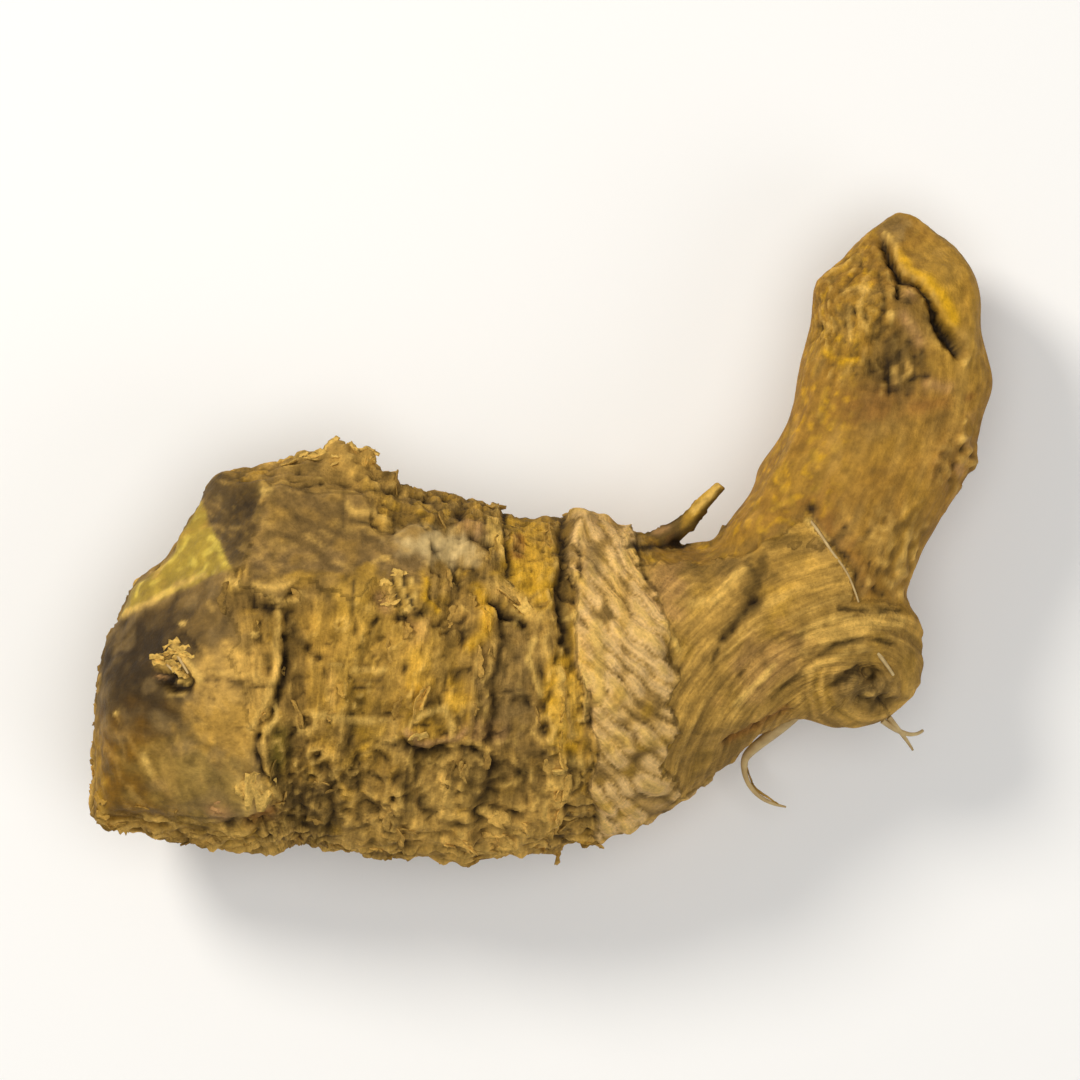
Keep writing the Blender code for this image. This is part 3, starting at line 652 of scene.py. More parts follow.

# %% [markdown]
# Some marks belong to this one piece and follow no rule: single cracks, lips, strands and holes. Each is
# drawn as a line in plan, with its colour, its half width, how far it rises or sinks, and how
# strong the colour is.

# %% Marks of its own
MARKS_MM = (
    # the stout end: chip rim, shadow of the tuft, cracks and lips of the old skin
    ("straw", 0.20, 0.06, 0.6, ((-29.1, -5.4), (-26.3, -4.3), (-24.3, -3.1), (-22.5, -2.4))),
    ("deep", 0.30, -0.35, 0.95, ((-25.1, -9.3), (-24.3, -9.8), (-23.4, -10.0))),
    ("straw", 0.26, 0.26, 1.0, ((-24.3, -7.2), (-23.4, -8.3), (-22.6, -9.3))),
    ("pale_tan", 0.34, 0.22, 1.0, ((-25.4, -8.2), (-24.9, -8.4))),
    ("straw", 0.16, 0.22, 0.9, ((-24.8, -7.7), (-24.1, -8.5), (-23.5, -9.2))),
    ("straw", 0.18, 0.20, 1.0, ((-24.5, -9.4), (-23.8, -9.5))),
    ("pink_tan", 0.14, 0.12, 0.8, ((-25.6, -9.0), (-25.1, -9.1))),
    ("dark", 0.12, -0.25, 0.9, ((-24.9, -7.6), (-24.2, -8.2), (-23.4, -9.2))),
    ("dark", 0.12, -0.20, 0.8, ((-25.6, -8.8), (-24.9, -8.9), (-24.1, -9.1))),
    ("straw", 0.13, 0.02, 1.0, ((-24.0, -5.6), (-23.85, -5.6))),
    ("straw", 0.16, 0.03, 1.0, ((-19.1, -6.3), (-18.95, -6.25))),
    ("straw", 0.13, 0.02, 1.0, ((-28.3, -11.6), (-28.2, -11.55))),
    ("pale_tan", 0.20, 0.05, 0.4, ((-22.1, -4.2), (-21.8, -4.6))),
    ("tan", 0.26, 0.14, 0.8, ((-27.5, -19.0), (-26.2, -19.4), (-24.8, -20.0))),
    ("pale_tan", 0.26, 0.12, 0.7, ((-22.5, -20.6), (-20.0, -20.9), (-17.7, -21.0))),
    ("olive_dark", 0.70, -0.10, 0.8, ((-17.4, -13.0), (-17.5, -14.8))),
    ("straw", 0.36, 0.12, 0.6, ((-15.9, -12.7), (-15.8, -12.7))),
    ("deep", 0.18, -0.12, 0.6, ((-23.8, -6.2), (-22.6, -7.5))),
    ("pale_tan", 0.30, 0.16, 0.9,
     ((-17.6, -6.9), (-17.4, -8.2), (-17.8, -9.7), (-18.4, -11.7), (-19.3, -12.4))),
    ("deep", 0.26, -0.40, 0.9, ((-16.9, -6.4), (-16.8, -8.5), (-17.2, -10.0), (-17.7, -11.4))),
    ("straw", 0.20, 0.22, 0.9, ((-17.7, -10.8), (-17.5, -11.8), (-18.2, -12.8))),
    ("pale_tan", 0.18, 0.18, 0.8, ((-18.4, -13.4), (-18.3, -14.7), (-17.9, -15.7))),
    ("deep", 0.18, -0.25, 0.8, ((-18.8, -12.9), (-18.9, -14.2), (-18.6, -15.6), (-17.6, -16.2))),
    ("umber", 0.12, -0.12, 0.8, ((-22.3, -9.35), (-20.9, -9.2), (-19.8, -9.6))),
    ("umber", 0.10, -0.08, 0.6, ((-20.3, -9.8), (-18.7, -9.8))),
    ("pale_tan", 0.14, 0.04, 0.6, ((-21.8, -8.7), (-19.9, -9.0), (-18.6, -8.9))),
    ("straw", 0.22, 0.05, 0.6, ((-26.5, -14.4), (-26.0, -15.6))),
    ("straw", 0.60, 0.14, 0.8, ((-19.9, -16.4), (-18.9, -16.6), (-18.1, -17.2))),
    ("straw", 0.40, 0.22, 0.9, ((-19.6, -16.6), (-19.5, -18.2))),
    ("rust", 0.45, -0.25, 0.8, ((-19.4, -18.9), (-18.0, -18.4))),
    ("pink_tan", 0.42, 0.18, 0.9, ((-21.9, -18.1), (-21.2, -18.3))),
    ("deep", 0.40, -0.15, 0.7, ((-20.9, -19.0), (-20.7, -19.1))),
    ("pale_tan", 0.22, 0.14, 0.8, ((-26.4, -18.6), (-25.0, -19.0), (-23.8, -19.8))),
    # between the sheet and the middle rings
    ("dark", 0.28, -0.12, 0.6, ((-16.8, -4.7), (-16.3, -6.4), (-14.8, -7.9))),
    ("deep", 0.35, -0.40, 0.9, ((-18.25, -4.45), (-18.0, -4.6))),
    ("dark", 0.18, -0.15, 0.7, ((-19.3, -2.6), (-19.0, -4.4))),
    ("pale_tan", 0.30, 0.20, 0.7, ((-18.9, -3.0), (-17.9, -3.3), (-16.6, -2.9))),
    ("pale_tan", 0.28, 0.20, 0.7, ((-17.9, -3.9), (-16.9, -4.2), (-16.0, -3.8))),
    ("straw", 0.28, 0.15, 0.8, ((-20.7, -2.8), (-20.2, -2.9))),
    ("dark", 0.12, -0.10, 0.8, ((-12.4, -2.8), (-12.55, -4.7))),
    ("tan", 0.32, 0.14, 0.8, ((-13.9, -8.9), (-13.8, -11.0))),
    ("straw", 0.20, 0.10, 0.7, ((-12.3, -8.65), (-10.4, -8.65))),
    ("umber", 0.12, -0.08, 0.6, ((-12.2, -9.2), (-10.5, -9.2))),
    ("umber", 0.12, -0.08, 0.6, ((-12.2, -9.9), (-10.6, -9.9))),
    ("straw", 0.26, 0.10, 0.6, ((-15.0, -11.6), (-12.6, -12.0), (-11.0, -12.0))),
    # shoulder and top rim
    ("deep", 0.35, -0.15, 0.6, ((-19.6, 2.3), (-19.1, 2.0))),
    ("straw", 0.32, 0.10, 0.7, ((-18.6, 3.3), (-18.3, 3.3))),
    ("dark", 0.14, -0.12, 0.8, ((-12.6, 1.3), (-10.9, 0.9))),
    ("dark", 0.12, -0.10, 0.6, ((-13.3, 3.6), (-13.2, 0.9))),
    ("pale_tan", 0.20, 0.12, 0.7, ((-12.9, 2.4), (-12.4, 1.8), (-11.2, 1.9), (-10.2, 1.2))),
    ("pale_tan", 0.16, 0.08, 0.6, ((-11.1, -1.45), (-10.2, -1.2))),
    ("deep", 0.35, 0.20, 0.8, ((-10.3, 4.4), (-9.9, 4.3))),
    ("dark", 0.16, -0.15, 0.6, ((-15.9, 3.6), (-14.7, 3.8))),
    ("dark", 0.18, -0.20, 0.7, ((-12.2, 3.3), (-10.2, 3.3), (-8.4, 2.6))),
    # knot of torn strands and the curled lips below it
    ("straw", 0.17, 0.16, 0.8, ((-9.5, -2.4), (-9.1, -3.4), (-8.6, -4.4), (-9.4, -5.1))),
    ("straw", 0.14, 0.14, 0.8, ((-8.6, -2.7), (-8.3, -3.6), (-8.7, -4.3))),
    ("pale_tan", 0.18, 0.14, 0.8, ((-10.5, -2.8), (-10.0, -3.3), (-9.9, -4.4))),
    ("deep", 0.11, -0.28, 0.9, ((-9.1, -2.5), (-8.9, -3.5), (-8.4, -4.6))),
    ("deep", 0.11, -0.28, 0.9, ((-9.9, -2.6), (-9.7, -3.5), (-9.3, -4.4))),
    ("pink_tan", 0.45, 0.20, 0.7, ((-10.6, -3.8), (-10.3, -4.5))),
    ("bright_yellow", 0.22, 0.22, 0.8, ((-7.6, -2.7), (-7.7, -3.9), (-6.8, -4.7))),
    ("deep", 0.30, -0.40, 0.9, ((-9.6, -5.2), (-9.3, -5.2))),
    ("deep", 0.32, -0.40, 0.9, ((-8.2, -5.0), (-7.8, -4.9))),
    ("pink_tan", 0.24, 0.28, 0.9,
     ((-8.9, -12.7), (-8.0, -13.7), (-6.5, -13.4), (-5.5, -13.2), (-5.0, -12.7))),
    ("straw", 0.20, 0.24, 0.8, ((-8.6, -12.3), (-7.6, -11.5), (-6.4, -11.2), (-6.0, -12.2), (-5.9, -13.0))),
    ("deep", 0.38, -0.35, 0.8, ((-9.0, -13.9), (-7.6, -14.4), (-6.4, -14.1))),
    ("deep", 0.24, -0.30, 0.8, ((-5.3, -13.8), (-4.0, -14.2), (-3.1, -15.2))),
    ("tan", 0.18, 0.15, 0.8, ((-6.2, -13.9), (-4.8, -13.5), (-3.3, -14.0), (-2.6, -14.6))),
    # the crescent, the pale curled scale and the sunk streak before the leaf base
    ("bright_yellow", 0.42, 0.18, 0.7, ((-4.3, -3.2), (-3.4, -4.7), (-3.8, -6.3), (-4.7, -7.1))),
    ("deep", 0.40, -0.25, 0.7, ((-5.0, -6.0), (-5.1, -6.4))),
    ("dark", 0.22, -0.25, 0.8, ((-5.5, 2.0), (-4.8, 0.4), (-3.8, -0.4), (-3.0, -0.5))),
    ("pink_tan", 0.45, 0.15, 0.7, ((-5.0, 1.0), (-4.1, 0.6))),
    ("straw", 0.50, 0.15, 0.7, ((-3.1, 0.9), (-2.9, 0.2))),
    ("pale_tan", 0.55, 0.18, 0.9, ((-3.0, -3.1), (-1.5, -4.0), (-0.4, -5.1))),
    ("deep", 0.26, -0.40, 0.95, ((-3.3, -4.2), (-2.3, -5.0), (-1.1, -5.6))),
    ("deep", 0.25, 0.10, 0.8, ((-1.9, 1.8), (-1.5, 1.8))),
    ("dark", 0.40, -0.30, 0.85, ((1.5, -0.3), (1.8, -2.5), (1.4, -4.2), (1.55, -6.1), (1.4, -7.8))),
    ("deep", 0.15, -0.20, 0.8, ((2.55, -0.4), (2.7, -2.6))),
    ("grey_brown", 0.60, 0.10, 0.8, ((3.5, -0.7), (3.6, -2.0))),
    ("straw", 0.22, 0.20, 0.9, ((1.9, -5.2), (2.3, -5.1))),
    ("straw", 0.20, 0.25, 0.7, ((-0.5, -6.7), (-0.8, -7.9), (-0.3, -9.4), (0.1, -10.4))),
    ("pale_tan", 0.35, 0.20, 0.7, ((0.4, -6.7), (0.5, -7.7))),
    ("bright_yellow", 0.60, 0.18, 0.9, ((1.5, -8.4), (1.5, -10.6), (1.9, -12.7), (2.0, -13.6))),
    ("straw", 0.36, 0.08, 0.9, ((1.3, -8.6), (1.6, -10.8), (2.1, -13.2))),
    ("straw", 0.16, 0.25, 0.8, ((2.6, -8.2), (3.1, -9.6), (3.0, -12.0), (2.5, -12.0))),
    ("dark", 0.18, -0.25, 0.7, ((3.3, -10.0), (3.3, -12.4))),
    # folds low on the body, and the small blocks beside them
    ("pale_tan", 0.34, 0.26, 0.8, ((-3.8, -18.3), (-2.3, -18.9), (-1.1, -19.6))),
    ("pale_tan", 0.34, 0.26, 0.8, ((-3.0, -19.7), (-1.9, -20.6), (-1.4, -21.0))),
    ("pale_tan", 0.30, 0.22, 0.8, ((-6.5, -15.2), (-6.4, -18.6))),
    ("pale_tan", 0.32, 0.22, 0.8, ((0.8, -15.3), (1.7, -15.6))),
    ("pale_tan", 0.32, 0.22, 0.8, ((0.8, -16.3), (1.8, -16.5))),
    ("pale_tan", 0.32, 0.22, 0.8, ((0.9, -17.2), (2.0, -17.4))),
    ("straw", 0.34, 0.22, 0.7, ((2.2, -14.8), (2.7, -14.9))),
    ("straw", 0.38, 0.24, 0.8, ((3.7, -5.8), (3.9, -8.0), (3.9, -10.6))),
    # the thin root on the neck, and the neck: strands, arcs over the eye, dark streaks
    ("deep", 0.26, -0.15, 0.9, ((5.9, -0.6), (7.7, -0.4), (9.6, -0.3))),
    ("pink_tan", 0.22, 0.06, 0.6, ((7.8, 0.5), (8.6, 0.8))),
    ("deep", 0.20, 0.0, 0.8, ((9.8, -0.2), (11.0, 1.5), (12.4, 3.0))),
    ("straw", 0.24, 0.0, 0.7, ((10.3, 1.9), (11.4, 3.0), (12.2, 3.8))),
    ("pale_tan", 0.32, 0.24, 0.85, ((10.0, -4.3), (11.7, -4.1), (12.6, -3.0), (13.6, -2.2))),
    ("straw", 0.22, 0.20, 0.7, ((8.2, -5.6), (8.7, -6.5), (9.2, -7.4))),
    ("deep", 0.45, -0.20, 0.75, ((14.2, -4.1), (13.1, -5.4), (12.3, -6.6))),
    ("dark", 0.45, -0.08, 0.6, ((14.7, -2.0), (14.3, -3.8))),
    ("dark", 0.20, -0.15, 0.7, ((12.2, -6.6), (11.6, -8.0))),
    ("dark", 0.18, -0.12, 0.6, ((15.6, -0.2), (17.2, 0.3))),
    ("straw", 0.22, 0.12, 0.8, ((17.9, 1.6), (18.5, 0.8), (19.1, 0.0))),
    ("dark", 0.14, -0.16, 0.8, ((20.0, -4.6), (22.0, -4.85), (24.2, -4.8))),
    ("pale_tan", 0.24, 0.12, 0.7, ((17.2, -6.2), (18.5, -5.6), (19.8, -5.25), (22.0, -5.5), (24.2, -5.7))),
    ("dark", 0.20, -0.20, 0.8, ((18.6, -7.8), (19.6, -7.2), (20.7, -6.8), (21.9, -6.6), (23.6, -7.0))),
    ("pale_tan", 0.22, 0.12, 0.7, ((17.6, -9.0), (18.8, -8.2), (20.3, -7.6), (22.0, -7.3))),
    ("dark", 0.14, -0.12, 0.6, ((15.6, -10.6), (17.0, -9.2), (18.2, -8.1))),
    ("straw", 0.18, 0.08, 0.7, ((13.0, -11.0), (14.4, -9.7), (15.6, -8.4))),
    ("dark", 0.14, -0.08, 0.5, ((12.6, -9.9), (14.4, -7.8), (16.2, -6.3))),
    ("rust", 0.26, -0.20, 0.8, ((12.4, -13.6), (14.6, -12.6), (16.6, -11.4))),
    # finger: the far lip of the split, wrinkles, hollow
    ("bright_yellow", 0.30, 0.06, 0.8, ((24.3, 19.5), (25.1, 18.4), (26.0, 17.8))),
    ("bright_yellow", 0.42, 0.08, 1.0, ((26.2, 17.6), (27.0, 16.8), (27.6, 15.9), (27.8, 15.0))),
    ("dark", 0.16, -0.14, 0.7, ((22.9, 18.4), (23.15, 16.4), (23.0, 15.0))),
    ("pale_tan", 0.18, 0.10, 0.7, ((21.9, 17.2), (21.4, 15.8), (21.9, 14.6))),
    ("pale_tan", 0.18, 0.10, 0.7, ((20.6, 17.0), (21.5, 17.3), (22.1, 17.1))),
    ("pale_tan", 0.16, 0.10, 0.7, ((20.9, 15.9), (20.7, 15.2), (20.9, 13.8))),
    ("dark", 0.20, -0.12, 0.7, ((21.0, 15.9), (21.2, 15.7))),
    ("dark", 0.20, -0.12, 0.7, ((21.8, 15.5), (22.0, 15.1))),
    ("dark", 0.18, -0.10, 0.6, ((18.7, 14.5), (19.0, 14.3))),
    ("straw", 0.20, 0.12, 0.9, ((23.6, 15.5), (23.6, 15.1))),
    ("dark", 0.14, -0.12, 0.8, ((24.1, 16.7), (24.4, 16.35), (25.0, 16.2))),
    ("bright_yellow", 0.22, 0.08, 0.6, ((19.3, 12.6), (20.2, 12.2), (21.3, 12.4))),
    ("deep", 0.20, -0.14, 0.7, ((23.5, 12.3), (23.3, 11.7), (23.35, 11.1))),
    ("deep", 0.20, -0.12, 0.7, ((23.4, 10.3), (24.0, 10.4))),
    ("deep", 0.18, -0.12, 0.8, ((25.6, 12.9), (25.8, 12.7))),
    ("deep", 0.20, -0.14, 0.8, ((25.0, 11.1), (25.5, 11.4), (26.0, 11.4))),
    ("dark", 0.30, -0.10, 0.7, ((24.6, 13.4), (24.1, 12.8), (24.0, 12.2))),
    ("tan", 0.18, 0.12, 0.8, ((24.6, 12.4), (24.9, 11.7), (24.5, 11.2))),
    ("tan", 0.16, 0.12, 0.7, ((23.9, 11.9), (23.9, 11.0))),
    ("pink_tan", 0.40, 0.15, 0.6, ((24.4, 15.4), (25.2, 14.4), (25.6, 13.6))),
    ("dark", 0.35, -0.15, 0.7, ((26.3, 15.2), (26.9, 14.0), (27.7, 13.3))),
    ("pink_tan", 0.45, 0.12, 0.6, ((26.2, 10.8), (27.4, 10.4))),
    ("rust", 0.60, -0.05, 0.6, ((25.2, 9.3), (27.2, 9.4))),
    ("rust", 0.24, -0.15, 0.8, ((28.8, 9.7), (29.1, 9.7))),
)
marks = []
crumble = np.clip(1.0 + 0.9 * lumps(bare, 0.5, 92), 0.3, 1.7)
# The deep marks that sink are painted shade in cracks, gaps and holes, and painted shadow beside lifted lips
# and scales.
for colour, half_width, rise, amount, places in MARKS_MM:
    mask = bump(from_line(plan, places) + 0.10 * uneven[0.6], half_width) * on_top
    height += rise * mask * crumble
    marks.append((colour, amount * mask))


tell_relief("marks")

# %% [markdown]
# Every thin root that fell off left a scar: a rim, a pit and often the stub of the root's own core in it.
# The ones that show from above have their places. On the sides and underneath they are strewn with a
# seed.

# %% Root scars
SCARS_MM = (
    (-15.6, -12.0, 0.75), (-14.9, -14.4, 0.6), (0.2, -12.65, 0.85), (-12.5, -15.5, 0.4), (-13.2, -5.8, 0.45),
    (-9.8, -17.6, 0.55), (-1.5, -0.5, 0.45), (8.6, -16.4, 0.5), (25.2, 5.0, 0.35), (18.9, 8.4, 0.3),
)
STREWN_SCARS, STREWN_RADII_MM, SCARRED_TO_MM, SCAR_SEED = 46, (0.45, 1.05), 46.0, 5


def skin_point(place_x, place_y):
    """The index of the upper skin's point nearest to a place in plan."""
    return int(np.argmin(np.hypot(x - place_x, y - place_y) - 0.05 * bare[:, 2]))


rng = random.Random(SCAR_SEED)
hidden = (facing[:, 2] < 0.25) & (along < SCARRED_TO_MM) & (cut["foot"] < 0.1) & (thick > 0.9)
hidden = np.flatnonzero(hidden).tolist()
scars = [(skin_point(sx, sy), radius) for sx, sy, radius in SCARS_MM]
scars += [(rng.choice(hidden), rng.uniform(*STREWN_RADII_MM)) for _ in range(STREWN_SCARS)]
scar_rim, scar_pit = np.zeros(len(bare)), np.zeros(len(bare))
for index, radius in scars:
    out = np.linalg.norm(bare - bare[index], axis=1) / radius + 0.12 * uneven[0.6]
    scar_rim = np.maximum(scar_rim, bump(out - 0.85, 0.28) * min(1.0, radius + 0.2))
    scar_pit = np.maximum(scar_pit, (bump(out, 0.55) - 0.9 * bump(out, 0.22)) * min(1.0, radius + 0.2))
height += 0.20 * scar_rim * np.clip(0.8 + uneven[1.3], 0.1, 1.5) - 0.42 * scar_pit
tell_relief("root scars")

# %% [markdown]
# The stout end is where the root was broken from its mother and handled most. It is rubbed nearly smooth.
# A sheet of old skin lies on it, cracked across, and ends in a lifted edge with a thin shadow painted
# beyond it. Beside it a dead root has left a pit, painted dark as shade.

# %% The rubbed end and the lifted sheet
SHEET_EDGE_MM = ((-14.2, -18.6), (-12.4, -18.9), (-10.5, -17.9), (-8.2, -17.1), (-5.2, -17.2))
edge_y, edge_x = zip(*SHEET_EDGE_MM)
past_sheet = x - np.interp(y, edge_y, edge_x) - 0.25 * uneven[0.6]
sheet_rows = eased(-14.8, -13.8, y) * eased(-4.6, -6.0, y) * on_top
sheet = patch(-20.3, -10.4, 2.9, 3.7, 5, 0.35, 1.3, 0.3) * eased(0.05, -0.15, past_sheet)
sheet_lip = sheet_rows * bump(past_sheet + 0.25, 0.30)
sheet_shadow = sheet_rows * bump(past_sheet - 0.45, 0.40)
sheet_cracks = sheet * bump(lumps(np.column_stack((x / 6.0, y, bare[:, 2] / 3.0)), 0.55, 56), 0.12)
height += 0.20 * sheet + 0.10 * sheet_lip - 0.12 * sheet_shadow - 0.05 * sheet_cracks
end_pit = patch(-24.3, -9.4, 1.1, 0.6, -18, 0.2, 0.6, 0.6)
height += rubbed * (0.12 * uneven[2.4] + 0.05 * uneven[1.3] + 0.045 * lumps(bare, 0.7, 57)) - 0.8 * end_pit
tell_relief("rubbed end")

# %% [markdown]
# Last the relief is laid on the skin, the cuts are kept flat, and the plan is drawn over as set out
# above.

# %% Lay the relief on the skin
CUT_SPARE_MM, THREAD_PULL = 0.12, 0.55
height *= 1.0 - 0.75 * any_cut
height += any_cut * (1.0 - cut["foot"]) * (0.08 * uneven[1.3] + 0.05 * lumps(bare, 0.6, 94))
shaped = bare + facing * height[:, None]
for name in ("chip", "corner", "shoulder"):
    point, way = (np.array(v) for v in CUTS[name])
    way = way / np.linalg.norm(way)
    proud = np.clip((shaped - point) @ way - CUT_SPARE_MM, 0.0, 0.6) * eased(0.6, 0.9, facing @ way)
    shaped -= proud[:, None] * way
shaped[:, :2] += drawn_over
slim = eased(1.0, 0.6, from_line(bare, THREAD_MM[1:]))
shaped += (nearest_on(bare, THREAD_MM) - shaped) * THREAD_PULL * slim[:, None]
shaped[:, 2] = np.maximum(shaped[:, 2], 0.0)
move_points(mesh, shaped)
tell_relief("cuts kept flat")

# %% [markdown]
# The colours follow the same rules as the relief. Dried cork runs from mustard ochre to grey brown, and
# each flake has dried to its own shade. What stands proud is painted pale as a highlight, and grooves are
# painted dark as shade. The paint is laid in coats, broad ones first, and kept on the mesh as a colour for
# each point, so it stays with the skin from every side.

# %% Palette, and how a coat is laid
PALETTE = {
    "ochre": "ab822f",
    "mustard": "b98f2b",
    "bright_yellow": "d6a21a",
    "golden": "b48a3b",
    "tan": "c0974f",
    "pale_tan": "cfa65a",
    "straw": "dcb464",
    "umber": "7c6032",
    "grey_brown": "8a7048",
    "dark": "54401f",
    "deep": "2c1e0c",
    "end_purple": "402e12",
    "slice_grey": "846840",
    "ash": "c6ab7c",
    "chip_green": "9f8531",
    "chip_light": "cbb24e",
    "rust": "8f5f2a",
    "pink_tan": "b08558",
    "leaf_tan": "e4bc84",
    "neck_brown": "a5803f",
    "olive_tan": "9a7d3f",
    "rust_ochre": "80590a",
    "finger_gold": "9c722b",
    "olive_dark": "6a5a1a",
}


def linear(name):
    return np.array(hex_colour(PALETTE[name])[:3])


paint = np.tile(linear("ochre"), (len(bare), 1))


def lay(name, amount):
    """Lays a coat of a named colour. The amount is 0 for none and 1 for a coat that hides what is below."""
    paint[:] += (linear(name) - paint) * np.clip(amount, 0.0, 1.0)[:, None]


def blotches(size, seed, low, high):
    """Patches of this size in mm along and round the root, from nothing at low to full at high."""
    return eased(low, high, lumps(warp, size, seed))


def tell_paint(step):
    """Prints the mean of the paint after a step."""
    print(step + ", mean paint, linear:", [round(float(c), 3) for c in paint.mean(axis=0)])


print(len(PALETTE), "colours in the palette")

# %% Broad coats on the ringed body
lay("golden", 0.8 * blotches((3.5, 5.0, 5.0), 60, -0.2, 0.6))
lay("umber", 0.7 * blotches((2.2, 5.5, 5.5), 61, 0.05, 0.7))
lay("tan", 0.6 * blotches((1.6, 2.6, 2.6), 62, 0.1, 0.8))
lay("grey_brown", 0.6 * blotches((3.0, 3.0, 3.0), 63, 0.15, 0.7))
lay("mustard", 0.6 * blotches((1.5, 2.2, 2.2), 64, 0.25, 0.8))
lay("dark", 0.55 * on_body * eased(0.15, 0.8, lumps(straight, (0.5, 4.0, 4.0), 65)))
lay("pale_tan", 0.6 * on_body * eased(0.78, 0.95, small_shade))
lay("umber", 0.6 * on_body * eased(0.25, 0.05, small_shade))
# Painted shade in the cracks between flakes and in the creases, and painted highlight on the swells between
# the creases.
lay("dark", 0.45 * on_body * eased(0.14, 0.0, small_inside))
lay("dark", 0.6 * on_body * crease)
lay("tan", 0.5 * on_body * eased(0.35, 0.9, np.abs(pillow)))
below = eased(0.2, -0.4, facing[:, 2])
lay("umber", 0.35 * on_body * below)
tell_paint("broad coats")

# %% Coats that have their own place on the upper side
def lay_patches(area, rows):
    """Lays a patch for each row, inside one area: its colour, how strong it is and its place."""
    for name, amount, place in rows:
        lay(name, amount * patch(*place) * area)


lay_patches(on_body, (
    ("mustard", 0.6, (-11.0, -7.5, 4.5, 5.0, 0, 0.5, 1.3, 0.6)),
    ("umber", 0.5, (-10.2, -10.0, 1.3, 2.6, 0, 0.6, 0.6, 0.6)),
    ("golden", 0.7, (-15.5, -9.0, 1.6, 6.0, 0, 0.5, 1.3, 0.6)),
    ("umber", 0.7, (-16.3, -9.5, 0.9, 5.5, 0, 0.6, 0.6, 0.5)),
    ("umber", 0.8, (-1.9, -11.0, 2.2, 8.0, 2, 0.55, 1.3, 0.5)),
    ("grey_brown", 0.5, (-2.2, -9.0, 1.8, 3.4, 2, 0.5, 0.6, 0.6)),
    ("tan", 0.55, (-8.0, -20.6, 9.0, 1.6, 0, 0.5, 1.3, 0.5)),
    ("tan", 0.4, (-11.0, -17.4, 3.0, 1.6, 0, 0.5, 1.3, 0.5)),
    ("tan", 0.6, (-2.2, -19.0, 3.0, 2.2, 0, 0.5, 1.3, 0.5)),
    ("dark", 0.7, (-4.5, -15.8, 0.8, 2.2)),
    ("mustard", 0.9, (-0.8, -1.6, 1.8, 3.2, 5, 0.4, 0.6, 0.4)),
    ("tan", 0.5, (-0.4, -0.6, 1.4, 1.8)),
    ("bright_yellow", 0.4, (-0.6, -1.8, 1.6, 2.6, 5, 0.6, 0.6, 0.6)),
    ("umber", 0.7, (-5.4, -4.5, 0.9, 2.2)),
    ("umber", 0.75, (-17.2, -13.8, 1.1, 1.4)),
    ("dark", 0.55, (-8.8, -17.0, 1.0, 1.2)),
    ("pale_tan", 0.7, (-6.5, -16.7, 1.1, 2.2)),
    ("tan", 0.7, (1.0, -17.2, 1.0, 2.4)),
    ("pink_tan", 0.5, (-8.2, -5.9, 0.9, 1.0)),
    ("pink_tan", 0.4, (-3.7, -12.8, 1.3, 0.7)),
    ("bright_yellow", 0.5, (-8.0, -8.8, 0.8, 1.5, 0, 0.6, 0.6, 0.6)),
    ("bright_yellow", 0.5, (-5.5, -10.4, 0.7, 1.0, 0, 0.6, 0.6, 0.6)),
    ("dark", 0.75, (-15.2, -18.6, 1.9, 2.4, 0, 0.4, 1.3, 0.3)),
    ("rust", 0.9, (-1.5, -0.5, 0.5, 0.8, 0, 0.3, 0.6, 0.4)),
    ("bright_yellow", 0.9, (1.5, -10.8, 1.2, 3.4, 0, 0.3, 0.6, 0.4)),
    ("straw", 0.7, (1.6, -11.0, 0.9, 2.8, 0, 0.6, 0.6, 0.6)),
    ("tan", 0.4, (-8.0, -7.0, 7.0, 3.5, 0, 0.6, 1.3, 0.6)),
))

low_body = rough * eased(-12.5, -15.5, y) * eased(0.0, 0.3, facing[:, 2])
# Painted highlight on the raised flakes low on the body, painted shade on the sunk ones.
lay("pale_tan", 0.55 * low_body * eased(0.1, 0.7, low_flakes))
lay("dark", 0.60 * low_body * eased(-0.1, -0.7, low_flakes))
tell_paint("patches")

# %% The rubbed end
lay("grey_brown", 0.9 * rubbed)
lay_patches(1.0, (
    ("umber", 0.95, (-23.0, -5.2, 4.6, 2.6, 12, 0.35, 1.3, 0.4)),
    ("end_purple", 0.95, (-26.3, -8.9, 3.6, 4.2, -12, 0.35, 1.3, 0.45)),
    ("rust_ochre", 0.9, (-27.8, -16.4, 4.2, 4.2, 10, 0.3, 1.3, 0.5)),
    ("olive_tan", 0.8, (-23.0, -15.9, 3.6, 2.6, 0, 0.5, 1.3, 0.5)),
    ("mustard", 0.6, (-30.2, -15.0, 0.8, 4.6, 6, 0.3, 0.6, 0.5)),
))
lay("grey_brown", 0.5 * rubbed * eased(0.2, 0.8, lumps(bare, 1.5, 97)))
lay("dark", 0.4 * rubbed * eased(0.25, 0.9, lumps(bare, 1.0, 98)))
end_space = np.column_stack((x * 0.9 + y * 0.4, (y * 0.9 - x * 0.4) / 3.0, bare[:, 2] / 3.0))
end_strokes = lumps(end_space, 0.5, 99)
end_strokes *= rubbed * eased(-10.5, -13.0, y)
lay("tan", 0.35 * eased(0.2, 0.8, end_strokes))
lay("dark", 0.30 * eased(-0.25, -0.8, end_strokes))
lay("tan", 0.9 * sheet)
lay("tan", 0.75 * on_body * knobbly)
lay("umber", 0.6 * sheet_cracks)
lay("pale_tan", 0.4 * sheet_lip)
# Painted shadow beyond the sheet's lifted edge, and painted shade in the pit.
lay("deep", 0.85 * np.maximum(0.3 * sheet_shadow, end_pit))
lay("golden", 0.6 * patch(-20.6, -12.6, 2.4, 1.6, 0, 0.5, 0.6, 0.4))
tell_paint("rubbed end")

